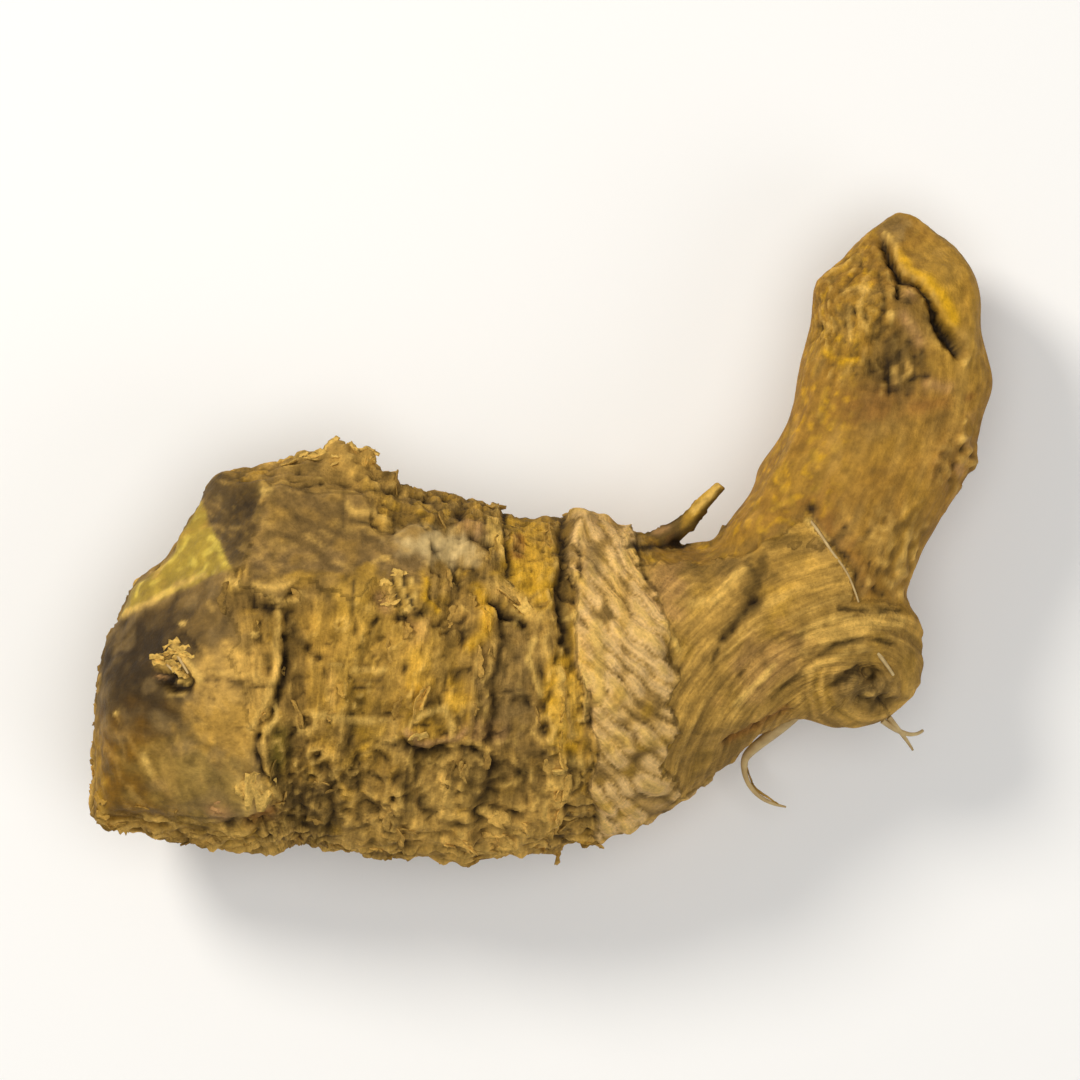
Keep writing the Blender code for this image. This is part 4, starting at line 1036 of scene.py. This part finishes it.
# %% Rings: pale crests, dark grooves
# Painted shade in the ring grooves and painted highlight on their crests. On the low side the tops of the
# layers are painted paler as highlight, and the gaps between them dark as shade.
lay("deep", 0.75 * ring_groove * rough)
lay("pale_tan", 0.5 * np.clip(ring_crest, 0.0, 1.0) * rough)
lay("tan", 0.7 * rough * layered * eased(-0.1, 0.5, layers))
lay("pale_tan", 0.85 * rough * layered * eased(0.2, 0.7, layers))
lay("dark", 0.5 * rough * layered * eased(-0.3, -0.9, layers))
tell_paint("rings")

# %% Root scars: pale rims, dark pits
lay("pale_tan", 0.7 * scar_rim)
# The dark of the pits is painted shade.
lay("deep", 0.85 * scar_pit)
tell_paint("root scars")

# %% Leaf base and neck
lay("leaf_tan", 0.95 * in_band)
lay("tan", 0.6 * in_band * eased(0.0, 0.8, lumps(straight, 3.0, 70)))
# Painted shade in the grooves between the cords, painted highlight on their tops.
lay("neck_brown", 0.8 * in_band * eased(0.6, 0.2, cord * cord_strength))
lay("dark", 0.62 * in_band * eased(0.34, 0.04, cord * cord_strength))
lay("straw", 0.6 * in_band * eased(0.75, 1.2, cord * cord_strength))
lay("mustard", 0.5 * in_band * eased(0.2, 0.8, lumps(straight, 1.7, 71)))
# Painted shadow on the neck just past the sheath's ragged edge.
shadow_past_band = bump(band_along - band_end - 0.5, 0.4)
lay("dark", 0.6 * shadow_past_band)
lay("neck_brown", 0.95 * in_neck)
lay("tan", 0.45 * in_neck * eased(-0.1, 0.7, lumps(fibre_space, (2.4, 1.6, 2.0), 72)))
lay("mustard", 0.35 * in_neck * eased(0.1, 0.8, lumps(bare, 2.4, 74)))
lay("tan", 0.5 * in_neck * eased(0.05, 0.75, fine_fibre))
lay("pale_tan", 0.4 * in_neck * eased(0.5, 1.0, fine_fibre + 0.5 * coarse_fibre))
lay("umber", 0.5 * in_neck * eased(-0.2, -0.8, fine_fibre))
lay_patches(in_neck, (
    ("golden", 0.5, (17.6, -1.4, 2.8, 2.4, 30, 0.5, 1.3, 0.6)),
    ("tan", 0.5, (18.6, -2.6, 2.0, 1.8, 0, 0.5, 0.6, 0.6)),
    ("umber", 0.75, (11.6, -1.9, 2.4, 1.1, 10)),
    ("dark", 0.55, (14.2, -3.0, 0.9, 1.9, -12)),
    ("pale_tan", 0.7, (20.2, -6.2, 2.8, 1.1, 12)),
))
lay("pink_tan", 0.5 * patch(8.4, -3.2, 1.2, 2.2, 0, 0.5, 1.3, 0.5) * np.maximum(in_neck, in_band))
lay_patches(in_neck, (
    ("pink_tan", 0.4, (15.0, -8.4, 2.6, 1.6, 40, 0.5, 1.3, 0.6)),
    ("umber", 0.5, (12.0, -15.0, 3.2, 2.2, 30, 0.5, 1.3, 0.5)),
))
lay("tan", 0.85 * below_eye * eased(-0.3, 0.9, lobe_rings))
lay("umber", 0.35 * below_eye * eased(-0.3, -0.9, lobe_rings))
lay("grey_brown", 0.7 * eye_floor)
lay("pale_tan", 0.5 * eye_floor * eased(0.1, 0.7, uneven[0.6]))
lay("umber", 0.6 * eye_floor * eased(0.0, -0.6, uneven[0.6]))
# Painted shade in the slits of the eye.
lay("deep", 0.75 * eye_slit)
tell_paint("leaf base and neck")

# %% Finger and rootlet
lay("finger_gold", 0.95 * in_finger)
lay("ochre", 0.45 * in_finger * eased(0.0, 0.7, lumps(straight, (5.0, 2.5, 2.5), 73)))
lay_patches(in_finger, (
    ("umber", 0.6, (23.4, 8.7, 3.0, 2.0, 10, 0.5, 1.3, 0.7)),
    ("rust", 0.5, (23.0, 9.6, 2.2, 1.3, 10, 0.5, 0.6, 0.7)),
    ("rust", 0.35, (20.4, 1.4, 1.6, 3.0, 35, 0.6, 0.6, 0.6)),
    ("golden", 0.65, (26.6, 6.0, 2.4, 4.0, 0, 0.5, 1.3, 0.5)),
    ("golden", 0.5, (21.4, 0.6, 2.0, 2.6, 35, 0.6, 0.6, 0.6)),
    ("rust", 0.3, (26.6, 6.0, 2.0, 3.4, 0, 0.7, 1.3, 0.7)),
    ("golden", 0.35, (19.9, 5.8, 2.0, 2.6, 0, 0.5, 1.3, 0.6)),
))
lay("mustard", 0.6 * in_finger * eased(0.3, 0.8, lumps(bare, 0.7, 75)) * eased(20.5, 17.5, x - 0.2 * y))
foot_mottle = in_finger * patch(21.2, 0.2, 1.7, 2.8, 0, 0.5, 0.6, 0.6)
lay("umber", 0.6 * foot_mottle * eased(0.0, 0.5, lumps(straight, (1.6, 0.6, 0.6), 76)))
lay("rust", 0.5 * np.maximum(torn, 0.5 * warts))
lay("dark", 0.65 * np.maximum(torn, 0.6 * warts) * eased(0.1, -0.6, lumpy))
lay("tan", 0.6 * warts * eased(-0.1, 0.5, lumpy))
lay("pale_tan", 0.7 * flaky * eased(-0.3, 0.5, lumpy))
lay("umber", 0.5 * flaky * eased(-0.1, -0.7, lumpy))
yellow_side = in_finger * eased(20.0, 17.5, x - 0.25 * y)
lay("bright_yellow", 0.5 * yellow_side * eased(0.35, 0.8, lumps(bare, 0.6, 102)))
lay("pale_tan", 0.5 * puckered * eased(0.2, 0.9, pucker))
lay("umber", 0.75 * puckered * eased(-0.1, -0.8, pucker))
lay("dark", 0.75 * hollow)
lay("pink_tan", 0.6 * warty * eased(0.2, 0.7, lumps(bare, 0.9, 55)))
lay_patches(in_finger, (
    ("ochre", 0.7, (27.4, 16.0, 2.6, 4.6, 25, 0.3, 0.6, 0.4)),
    ("golden", 0.5, (28.6, 12.0, 1.8, 3.6, -10)),
))
# Painted shade down the split.
lay("deep", 0.9 * split_top * bump(split_line, split_width + 0.04))
lay("umber", 0.6 * in_finger * patch(25.0, 15.6, 1.2, 2.0, 35, 0.4, 0.6, 0.5) * (1.0 - capside))
lay("pink_tan", 0.9 * bead * (1.0 - capside))
lay_patches(in_finger, (
    ("golden", 0.7, (27.0, 19.2, 1.8, 2.2, 0, 0.4, 0.6, 0.5)),
    ("grey_brown", 0.7, (23.9, 21.7, 1.2, 1.1, 0, 0.4, 0.6, 0.5)),
))
# Painted shadow on the finger just past the sheath's edge.
lay("umber", 0.5 * eased(0.5, 0.0, np.abs(past_edge - 0.4)) * in_finger)
lay("tan", 0.3 * in_finger * eased(0.15, 0.8, lumps(straight, (3.4, 1.0, 1.0), 77)))
lay("umber", 0.3 * in_finger * eased(0.2, 0.9, lumps(straight, (3.0, 1.3, 1.3), 78)))

in_rootlet = eased(1.15, 0.85, from_line(bare, ROOTLET_MM))
lay("mustard", 0.8 * in_rootlet)
lay("dark", 0.85 * in_rootlet * eased(10.6, 9.2, x + 0.6 * uneven[0.6]))
lay("rust", 0.5 * in_rootlet * eased(10.0, 8.6, x) * eased(0.0, 0.6, uneven[0.6]))
# Painted shade on the rootlet's lower right side, which faces away from the key light.
lay("deep", 0.7 * in_rootlet * eased(0.2, -0.6, facing[:, 1] - 0.4 * facing[:, 0]))
tell_paint("finger")

# %% Cut flesh
lay("chip_green", cut["chip"])
lay("chip_light", cut["chip"] * 0.7 * eased(0.1, 0.8, lumps(bare, (1.6, 0.7, 0.7), 80)))
lay("golden", cut["chip"] * 0.5 * eased(0.2, 0.8, lumps(bare, 1.3, 81)))
chip_rim = cut["chip"] * eased(0.9, 0.2, left_of(*CHIP_EDGE_MM, fray=0.3))
lay("umber", 0.7 * chip_rim * eased(-0.2, 0.5, lumps(bare, 0.9, 84)))
corner_share = np.clip(spread(cut["corner"], 6) + 0.2 * uneven[0.6], 0.0, 1.0) * (1.0 - cut["chip"])
lay("dark", corner_share * 0.85)
lay("umber", corner_share * 0.7 * eased(0.0, 0.8, uneven[1.3]))
lay("deep", corner_share * 0.4 * patch(-19.8, 2.0, 1.2, 1.4, 0, 0.5, 0.6, 0.6))
slice_share = spread(cut["shoulder"], 6) * eased(-0.6, 0.1, y + 1.8 + 0.8 * uneven[2.4] + 0.5 * uneven[0.6])
lay("slice_grey", slice_share * 0.9)
lay("tan", 0.5 * patch(-17.9, 0.8, 0.9, 2.4, 0, 0.6, 0.6, 0.6))
lay("umber", slice_share * 0.75 * patch(-15.4, 1.0, 3.4, 2.4, -4, 0.6, 2.4, 0.8))
lay("golden", slice_share * 0.4 * eased(0.15, 0.8, uneven[1.3]))
cut_space = np.column_stack((x * 0.5 + y * 0.9, (x * 0.9 - y * 0.5) / 4.0, bare[:, 2] / 4.0))
cut_fibres = lumps(cut_space, 0.42, 96)
lay("pale_tan", np.maximum(slice_share, corner_share) * 0.28 * eased(0.15, 0.8, cut_fibres))
lay("dark", np.maximum(slice_share, corner_share) * 0.32 * eased(-0.15, -0.8, cut_fibres))
lay("dark", slice_share * 0.35 * eased(0.35, 0.9, lumps(bare, 1.0, 88)))
lay("tan", slice_share * 0.6 * patch(-11.0, 1.6, 1.8, 0.9, 0, 0.6, 0.6, 0.6))
ash = patch(-6.6, -0.4, 2.2, 1.05, -8, 0.45, 0.6, 0.7)
lay("ash", 0.85 * ash)
lay("golden", cut["foot"] * 0.8)
tell_paint("cut flesh")

# %% The marks of its own
PALE_MARKS = ("straw", "pale_tan", "tan", "bright_yellow", "pink_tan")
for colour, amount in marks:
    lay(colour, amount)
spared_from_painted_light = np.maximum.reduce([amount for colour, amount in marks if colour in PALE_MARKS])
tell_paint("marks")

# %% Painted shade in the hollows, painted highlight on the crests
CONTRAST, PALEST = 0.22, 0.72
WARMTH = np.array((1.0, 0.98, 0.80))
shown_facing = normals_of(mesh)
fine_hollow = spread(hollowness(shaped, shown_facing, 3), 1)
broad_hollow = hollowness(shaped, shown_facing, 31)
skin_only = (1.0 - 0.8 * any_cut) * (1.0 - np.maximum(0.6 * in_band, 0.4 * layered * rough))
skin_only *= (1.0 - 0.7 * spared_from_painted_light) * (0.2 + 0.8 * thick) * (1.0 - 0.8 * near_eye)
# Painted shade: the hollows of the relief are darkened. Painted highlight: its crests are made paler.
lay("deep", 0.75 * skin_only * eased(0.015, 0.085, fine_hollow))
lay("deep", 0.55 * skin_only * eased(0.06, 0.40, broad_hollow))
lay("straw", 0.55 * skin_only * eased(-0.02, -0.10, fine_hollow) * eased(-0.5, 0.4, lumps(bare, 1.4, 85)))
lay("pale_tan", 0.25 * skin_only * eased(-0.08, -0.35, broad_hollow))
strokes = 0.20 * lumps(warp, (0.4, 1.3, 1.3), 86) + 0.14 * lumps(bare, 1.3, 87)
smooth_skin = np.maximum(np.maximum(rubbed, in_finger), any_cut)
mottle = 0.12 * lumps(bare, 0.9, 95) * (1.0 - 0.6 * in_finger) + 0.12 * lumps(bare, 0.5, 89)
speckle = 1.0 + strokes * (1.0 - 0.6 * smooth_skin) + mottle * (0.4 + 0.6 * smooth_skin)
paint *= np.clip(speckle, 0.5, 1.5)[:, None]
tone = paint.mean(axis=1)
gain = (tone / tone.mean()) ** CONTRAST
paint *= np.minimum(gain, PALEST / paint.max(axis=1))[:, None]
paint *= WARMTH
tell_paint("shade of the hollows")

# %% [markdown]
# The finest detail is too small for the mesh: fibres a third of a millimetre wide, and the grain of the
# cork. The material draws it, as colour and as bump. Its fibres are noise too, read from a vector kept on
# the mesh that is already drawn out along the fibres: round the body, along the finger, with the sweep on
# the neck.

# %% Fibre coordinates, and the attributes that the material reads
FIBRE_MM = 0.36


def store(mesh, name, kind, values):
    if kind == "FLOAT_COLOR":
        values = np.column_stack((values, np.ones(len(values))))
        mesh.color_attributes.new(name, kind, "POINT").data.foreach_set("color", values.ravel())
    elif kind == "FLOAT_VECTOR":
        mesh.attributes.new(name, kind, "POINT").data.foreach_set("vector", values.ravel())
    else:
        mesh.attributes.new(name, kind, "POINT").data.foreach_set("value", values)


def drawn_out(first, second, third):
    """Coordinates in fibre widths: the first changes across the fibres, and the others far more slowly."""
    return np.column_stack((first, second, third)) / FIBRE_MM


grain = drawn_out(along, straight[:, 1] / 6, straight[:, 2] / 6)
grain_in_band = drawn_out(slant_along, cord_length / 6, straight[:, 2] / 6)
grain_in_neck = np.where(upper[:, None] > 0.5, drawn_out(fibre_line, along / 8, straight[:, 2] / 6),
                         drawn_out(straight[:, 1], along / 8, straight[:, 2]))
grain_in_finger = drawn_out(straight[:, 1] * 0.8, along / 5, straight[:, 2] * 0.8)
for mask, other in ((in_band, grain_in_band), (in_finger, grain_in_finger), (in_neck, grain_in_neck),
                    (np.maximum(rubbed, any_cut), drawn_out(*(bare.T * 0.9)))):
    grain = np.where(mask[:, None] > 0.5, other, grain)
smoothness = np.clip(0.75 * rubbed + 0.55 * in_finger * (1.0 - puckered) + 0.5 * any_cut + ash, 0.0, 1.0)
store(mesh, "paint", "FLOAT_COLOR", paint)
store(mesh, "grain", "FLOAT_VECTOR", grain)
store(mesh, "smoothness", "FLOAT", smoothness)
print("smoothness:", round(float(smoothness.min()), 2), "to", round(float(smoothness.max()), 2))

# %% [markdown]
# Dried rhizome skin is cork over starchy flesh: matt, a little less so where handling has rubbed it. The
# colour comes from the paint, times the fibre noise and a finer grain. The same two noises drive the
# bump.

# %% The dried skin
GRAIN_MM, BUMP_MM = 0.22, 0.15


def dried_skin():
    # Cork and dried flesh: no metal, an index like other plant matter, and a broad dull highlight.
    material, tree = empty_material("dried_rhizome_skin")
    painted = add_node(tree, "ShaderNodeAttribute", attribute_name="paint")
    fibre_place = add_node(tree, "ShaderNodeAttribute", attribute_name="grain")
    smooth = add_node(tree, "ShaderNodeAttribute", attribute_name="smoothness")
    place = add_node(tree, "ShaderNodeTexCoord")
    fibre = add_node(tree, "ShaderNodeTexNoise", {
        "Vector": fibre_place.outputs["Vector"], "Scale": 1.0, "Detail": 3.0, "Roughness": 0.6})
    speck = add_node(tree, "ShaderNodeTexNoise", {
        "Vector": place.outputs["Object"], "Scale": 1.0 / (GRAIN_MM * MM), "Detail": 4.0, "Roughness": 0.65})
    fibre_tone = add_node(tree, "ShaderNodeMapRange", {
        "Value": fibre.outputs["Fac"], "From Min": 0.3, "From Max": 0.7, "To Min": 0.70, "To Max": 1.27})
    speck_tone = add_node(tree, "ShaderNodeMapRange", {
        "Value": speck.outputs["Fac"], "From Min": 0.3, "From Max": 0.7, "To Min": 0.80, "To Max": 1.18})
    tone = add_node(tree, "ShaderNodeMath", {
        0: fibre_tone.outputs[0], 1: speck_tone.outputs[0]}, operation="MULTIPLY")
    calmness = add_node(tree, "ShaderNodeMath", {0: smooth.outputs["Fac"], 1: 0.6}, operation="MULTIPLY")
    calmed = add_node(tree, "ShaderNodeMix", {0: calmness.outputs[0], 2: tone.outputs[0], 3: 1.0})
    coloured = add_node(tree, "ShaderNodeVectorMath", {
        0: painted.outputs["Color"], 1: calmed.outputs[0]}, operation="MULTIPLY")
    height = add_node(tree, "ShaderNodeMath", {
        0: fibre.outputs["Fac"], 1: speck.outputs["Fac"]}, operation="ADD")
    strength = add_node(tree, "ShaderNodeMapRange", {
        "Value": smooth.outputs["Fac"], "To Min": 0.9, "To Max": 0.35})
    roughness = add_node(tree, "ShaderNodeMapRange", {
        "Value": smooth.outputs["Fac"], "To Min": 0.88, "To Max": 0.58})
    relief = add_node(tree, "ShaderNodeBump", {
        "Height": height.outputs[0], "Strength": strength.outputs[0], "Distance": BUMP_MM * MM})
    shader = add_node(tree, "ShaderNodeBsdfPrincipled", {
        "Base Color": coloured.outputs[0], "Roughness": roughness.outputs[0], "IOR": 1.45,
        "Specular IOR Level": 0.22, "Normal": relief.outputs[0]})
    add_node(tree, "ShaderNodeOutputMaterial", {"Surface": shader.outputs[0]})
    return material


skin_material = dried_skin()
print(skin_material.name + ":", len(skin_material.node_tree.nodes), "nodes")

# %% [markdown]
# A height field can't fold over itself, so what has come loose is made as pieces of its own. Curled
# flakes of cork stand along the rings and on the low side. Each starts as a small grid, gets an uneven
# outline and a curl, and is given a thickness. Its foot is sunk in the skin, and it takes its shade from
# the skin that it grew on.

# %% Curled flakes of cork
FLAKE_SEED = 21
FLAKE_LENGTH_MM, FLAKE_WIDTH_MM, FLAKE_THICK_MM = (0.9, 2.4), (0.4, 0.8), 0.10
FLAKE_CURL, FLAKE_SINK_MM, LOWEST_FLAKE_MM = (0.1, 0.6), 0.09, 1.6
skin_now, skin_facing = points_of(mesh), normals_of(mesh)


def flake(bm, shade, rng, length, width, curl):
    """One curled flake on the floor of the bmesh, its foot along X at y = 0."""
    made = bmesh.ops.create_grid(bm, x_segments=6, y_segments=3, size=0.5)["verts"]
    torn = [rng.uniform(0.45, 1.0) for _ in range(7)]
    for vert in made:
        u, v = vert.co.x * 2.0, vert.co.y + 0.5
        reach = width * v * torn[round((u + 1.0) * 3.0)] * (1.0 - 0.3 * abs(u) ** 3)
        across = u * length * 0.5 * (1.0 - 0.12 * v)
        vert.co = Vector((across, reach, curl * reach * v + 0.12 * width * u * u))
        vert.co += Vector([rng.uniform(-0.04, 0.04) for _ in range(3)]) * width
    faces = list({face for vert in made for face in vert.link_faces})
    thick = bmesh.ops.solidify(bm, geom=faces, thickness=FLAKE_THICK_MM)["geom"]
    whole = list(set(made) | {item for item in thick if isinstance(item, bmesh.types.BMVert)})
    for vert in whole:
        vert[shade] = (0.0, 0.0, 0.0, 1.0)
    return whole


def lean_on_skin(verts, spot, normal, run, lean, sink):
    """Stands the flake on the skin: its foot runs along run, and it leans by an angle from the skin."""
    run = (run - normal * run.dot(normal)).normalized()
    turn = Matrix((run, normal.cross(run), normal)).transposed() @ Matrix.Rotation(lean, 3, "X")
    for vert in verts:
        vert.co = turn @ vert.co + spot - normal * sink


def flake_piece(name, chances, count, seed, runs, lengths=FLAKE_LENGTH_MM, widths=FLAKE_WIDTH_MM,
                leans=(0.05, 0.55), tint="tan", tinted=(0.1, 0.6)):
    """A piece of many flakes, strewn where the chances are high."""
    rng = random.Random(seed)
    spots = rng.choices(range(len(chances)), weights=chances.tolist(), k=count)
    bm = bmesh.new()
    shade = bm.verts.layers.float_color.new("paint")
    for spot in spots:
        verts = flake(bm, shade, rng, rng.uniform(*lengths), rng.uniform(*widths), rng.uniform(*FLAKE_CURL))
        run = Vector(runs[spot]) + Vector([rng.uniform(-0.35, 0.35) for _ in range(3)])
        lean_on_skin(verts, Vector(skin_now[spot]), Vector(skin_facing[spot]), run * rng.choice((1, -1)),
                     rng.uniform(*leans), FLAKE_SINK_MM)
        mixed = paint[spot] + (linear(tint) * WARMTH - paint[spot]) * rng.uniform(*tinted)
        for vert in verts:
            vert[shade] = (*mixed, 1.0)
    return finish_flakes(name, bm)


def finish_piece(name, bm, material):
    made = bpy.data.objects.new(name, bpy.data.meshes.new(name))
    bm.to_mesh(made.data)
    bm.free()
    bpy.context.scene.collection.objects.link(made)
    made.data.materials.append(material)
    made.data.shade_smooth()
    if "grain" not in made.data.attributes:
        store(made.data, "grain", "FLOAT_VECTOR", points_of(made.data) / FIBRE_MM)
    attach(made, BODY)
    print(name, len(made.data.polygons), "faces")
    return made


def finish_flakes(name, bm):
    """From millimetres to metres, faces outwards, and in the skin's own finish."""
    bmesh.ops.scale(bm, verts=bm.verts, vec=(MM,) * 3)
    bmesh.ops.recalc_face_normals(bm, faces=bm.faces)
    return finish_piece(name, bm, skin_material)


ring_run = np.cross(skin_facing, np.tile((1.0, 0.0, 0.0), (len(x), 1)))
root_run = np.tile((1.0, 0.0, 0.0), (len(x), 1))
free_skin = rough * (thick > 0.9) * (scar_pit < 0.2) * (skin_now[:, 2] > LOWEST_FLAKE_MM)
flake_piece("ring_flakes", free_skin * (eased(0.35, 0.8, ring_crest) + 0.05), 120, FLAKE_SEED, ring_run)
flake_piece("rim_flakes", free_skin * layered, 110, FLAKE_SEED + 1, root_run,
            lengths=(0.7, 1.7), widths=(0.3, 0.6), leans=(0.03, 0.25))
end_corner = on_top * eased(4.0, 1.0, np.hypot(x + 28.6, y + 18.6)) * (facing[:, 2] > 0.2)
flake_piece("end_flakes", end_corner, 12, FLAKE_SEED + 2, root_run, (0.7, 1.4))
torn_root = 0.5 * eased(1.3, 0.4, np.hypot((x + 24.4) * 0.8, y + 8.2))
torn_root = on_top * np.maximum(torn_root, 0.3 * eased(1.7, 0.5, np.hypot(x + 9.3, (y + 3.6) * 0.8)))
torn_root = np.maximum(torn_root, 0.08 * knobbly * (y > 5.0))
flake_piece("tuft_flakes", torn_root, 44, FLAKE_SEED + 3, root_run,
            lengths=(0.8, 1.6), widths=(0.4, 0.7), leans=(0.1, 0.6), tint="straw", tinted=(0.7, 1.0))

# %% Loose scales with a place of their own
SCALES_MM = (  # the foot's place, the way the scale points in degrees, its length and width, and its colour
    (-18.8, -15.7, -100, 2.4, 3.0, "straw"),
    (-19.9, -16.0, -50, 1.6, 1.9, "straw"),
    (-21.3, -17.9, 180, 1.0, 0.9, "pink_tan"),
    (-2.7, -3.0, -45, 1.4, 2.2, "pale_tan"),
    (-1.4, -4.1, -50, 1.0, 1.7, "straw"),
    (-8.3, -13.3, 60, 1.6, 0.9, "straw"),
    (-6.3, -13.1, 110, 1.5, 1.0, "pink_tan"),
    (-3.2, -18.4, -40, 1.4, 1.5, "pale_tan"),
    (-2.6, -20.2, -30, 1.5, 1.2, "pale_tan"),
    (0.8, -15.4, 10, 0.8, 1.2, "straw"),
    (0.9, -17.0, -10, 0.8, 1.2, "pale_tan"),
    (-14.1, -11.8, 5, 0.8, 2.2, "tan"),
)


def loose_scales(seed):
    rng = random.Random(seed)
    bm = bmesh.new()
    shade = bm.verts.layers.float_color.new("paint")
    for px, py, way, length, width, tint in SCALES_MM:
        spot, heading = skin_point(px, py), math.radians(way)
        verts = flake(bm, shade, rng, length, width, 0.02)
        run = Vector((math.sin(heading), -math.cos(heading), 0.0))
        lean_on_skin(verts, Vector(skin_now[spot]), Vector(skin_facing[spot]), run, 0.02, 0.03)
        for vert in verts:
            vert[shade] = (*(linear(tint) * WARMTH), 1.0)
    return finish_flakes("loose_scales", bm)


loose_scales(FLAKE_SEED + 4)

# %% [markdown]
# Hairs are what is left of torn leaf fibres and thin roots. Each is a curve through a few points with a
# round bevel that tapers to its tip, and all of one kind are turned into one mesh.

# %% Fibres and hair roots
HAIR_SIDES = 1  # bevel resolution: six sides are enough for a hair
FIBRE_SHADE_MM = 0.8


def hair_curve(name, strands):
    """One mesh of all the strands. Each strand is a list of (place, radius) in mm."""
    curve = bpy.data.curves.new(name, "CURVE")
    curve.dimensions = "3D"
    curve.bevel_depth = MM
    curve.bevel_resolution = HAIR_SIDES
    curve.use_fill_caps = True
    curve.resolution_u = 5
    for strand in strands:
        line = curve.splines.new("NURBS")
        line.points.add(len(strand) - 1)
        line.order_u, line.use_endpoint_u = 4, True
        for point, (place, radius) in zip(line.points, strand):
            point.co = (*(Vector(place) * MM), 1.0)
            point.radius = radius
    made = bpy.data.objects.new(name, curve)
    bpy.context.scene.collection.objects.link(made)
    solid = evaluated_copy(made)
    bpy.data.objects.remove(made)
    bm = bmesh.new()
    bm.from_mesh(solid)
    return bm


def strand_over(places, radius, lift=0.15, tip=0.5):
    """A strand over the skin through these places in plan. Past the edge of the skin it sinks slowly."""
    found = []
    for k, (px, py) in enumerate(places):
        nearest = skin_now[skin_point(px, py)]
        gap = math.hypot(nearest[0] - px, nearest[1] - py)
        if k == 0:
            found.append(((nearest[0], nearest[1], nearest[2] - 0.3), radius))
            continue
        level = nearest[2] + lift if gap < 0.5 else found[-1][0][2] - 0.4 * gap
        found.append(((px, py, level), radius * (1.0 - (1.0 - tip) * k / (len(places) - 1))))
    return found


def pale_fibre():
    # Dry leaf fibre: cellulose with the flesh gone, straw coloured and faintly glossy along its length.
    material, tree = empty_material("dry_leaf_fibre")
    place = add_node(tree, "ShaderNodeTexCoord")
    noise_node = add_node(tree, "ShaderNodeTexNoise", {
        "Vector": place.outputs["Object"], "Scale": 1.0 / (FIBRE_SHADE_MM * MM), "Detail": 3.0})
    shades = add_node(tree, "ShaderNodeMix", {0: noise_node.outputs["Fac"], 6: hex_colour("8d6a35"),
                                              7: hex_colour("e0c589")}, data_type="RGBA")
    shader = add_node(tree, "ShaderNodeBsdfPrincipled", {
        "Base Color": shades.outputs[2], "Roughness": 0.62, "Specular IOR Level": 0.4})
    add_node(tree, "ShaderNodeOutputMaterial", {"Surface": shader.outputs[0]})
    return material


fibre_material = pale_fibre()
strands = [
    strand_over(((-24.6, -7.2), (-23.9, -8.0), (-23.4, -8.9)), 0.15, 0.38, 0.5),
    strand_over(((-25.6, -7.9), (-25.0, -8.1), (-24.3, -8.9)), 0.14, 0.30, 0.5),
    strand_over(((18.1, 1.7), (18.7, 0.5), (19.4, -0.8), (20.4, -1.9), (20.9, -3.0), (21.3, -4.2)),
                0.13, 0.06),
    strand_over(((22.4, -7.4), (23.1, -8.2), (23.7, -9.1)), 0.17, 0.30, 0.6),
    strand_over(((23.2, -12.4), (24.4, -13.2), (25.3, -13.5), (26.0, -13.0)), 0.22, 0.1, 0.5),
    strand_over(((23.6, -12.2), (24.8, -13.5), (25.3, -14.3)), 0.20, 0.1, 0.4),
]
finish_piece("fibre_tufts", hair_curve("fibre_tufts", strands), fibre_material)

# %% The last thread root
THREAD_PLACES_MM = (
    ((18.2, -11.0, 7.6), 0.42), ((16.9, -12.4, 6.6), 0.42), ((15.3, -13.6, 5.8), 0.38),
    ((14.2, -14.5, 5.2), 0.36), ((13.8, -15.2, 4.8), 0.22), ((14.0, -16.4, 4.4), 0.19),
    ((14.7, -17.5, 4.1), 0.17), ((15.8, -18.1, 3.9), 0.15), ((16.8, -18.3, 3.8), 0.07),
)
finish_piece("thread_root", hair_curve("thread_root", [THREAD_PLACES_MM]), fibre_material)

# %% [markdown]
# The skin takes the place of the imported solid, which stays behind for collision. Everything rides on the
# one body.

# %% Put the skin in the solid's place
mesh.materials.clear()
mesh.materials.append(skin_material)
mesh.shade_smooth()
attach(root_skin, BODY)
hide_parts(NODE)
print(root_skin.name, "takes the place of", NODE)
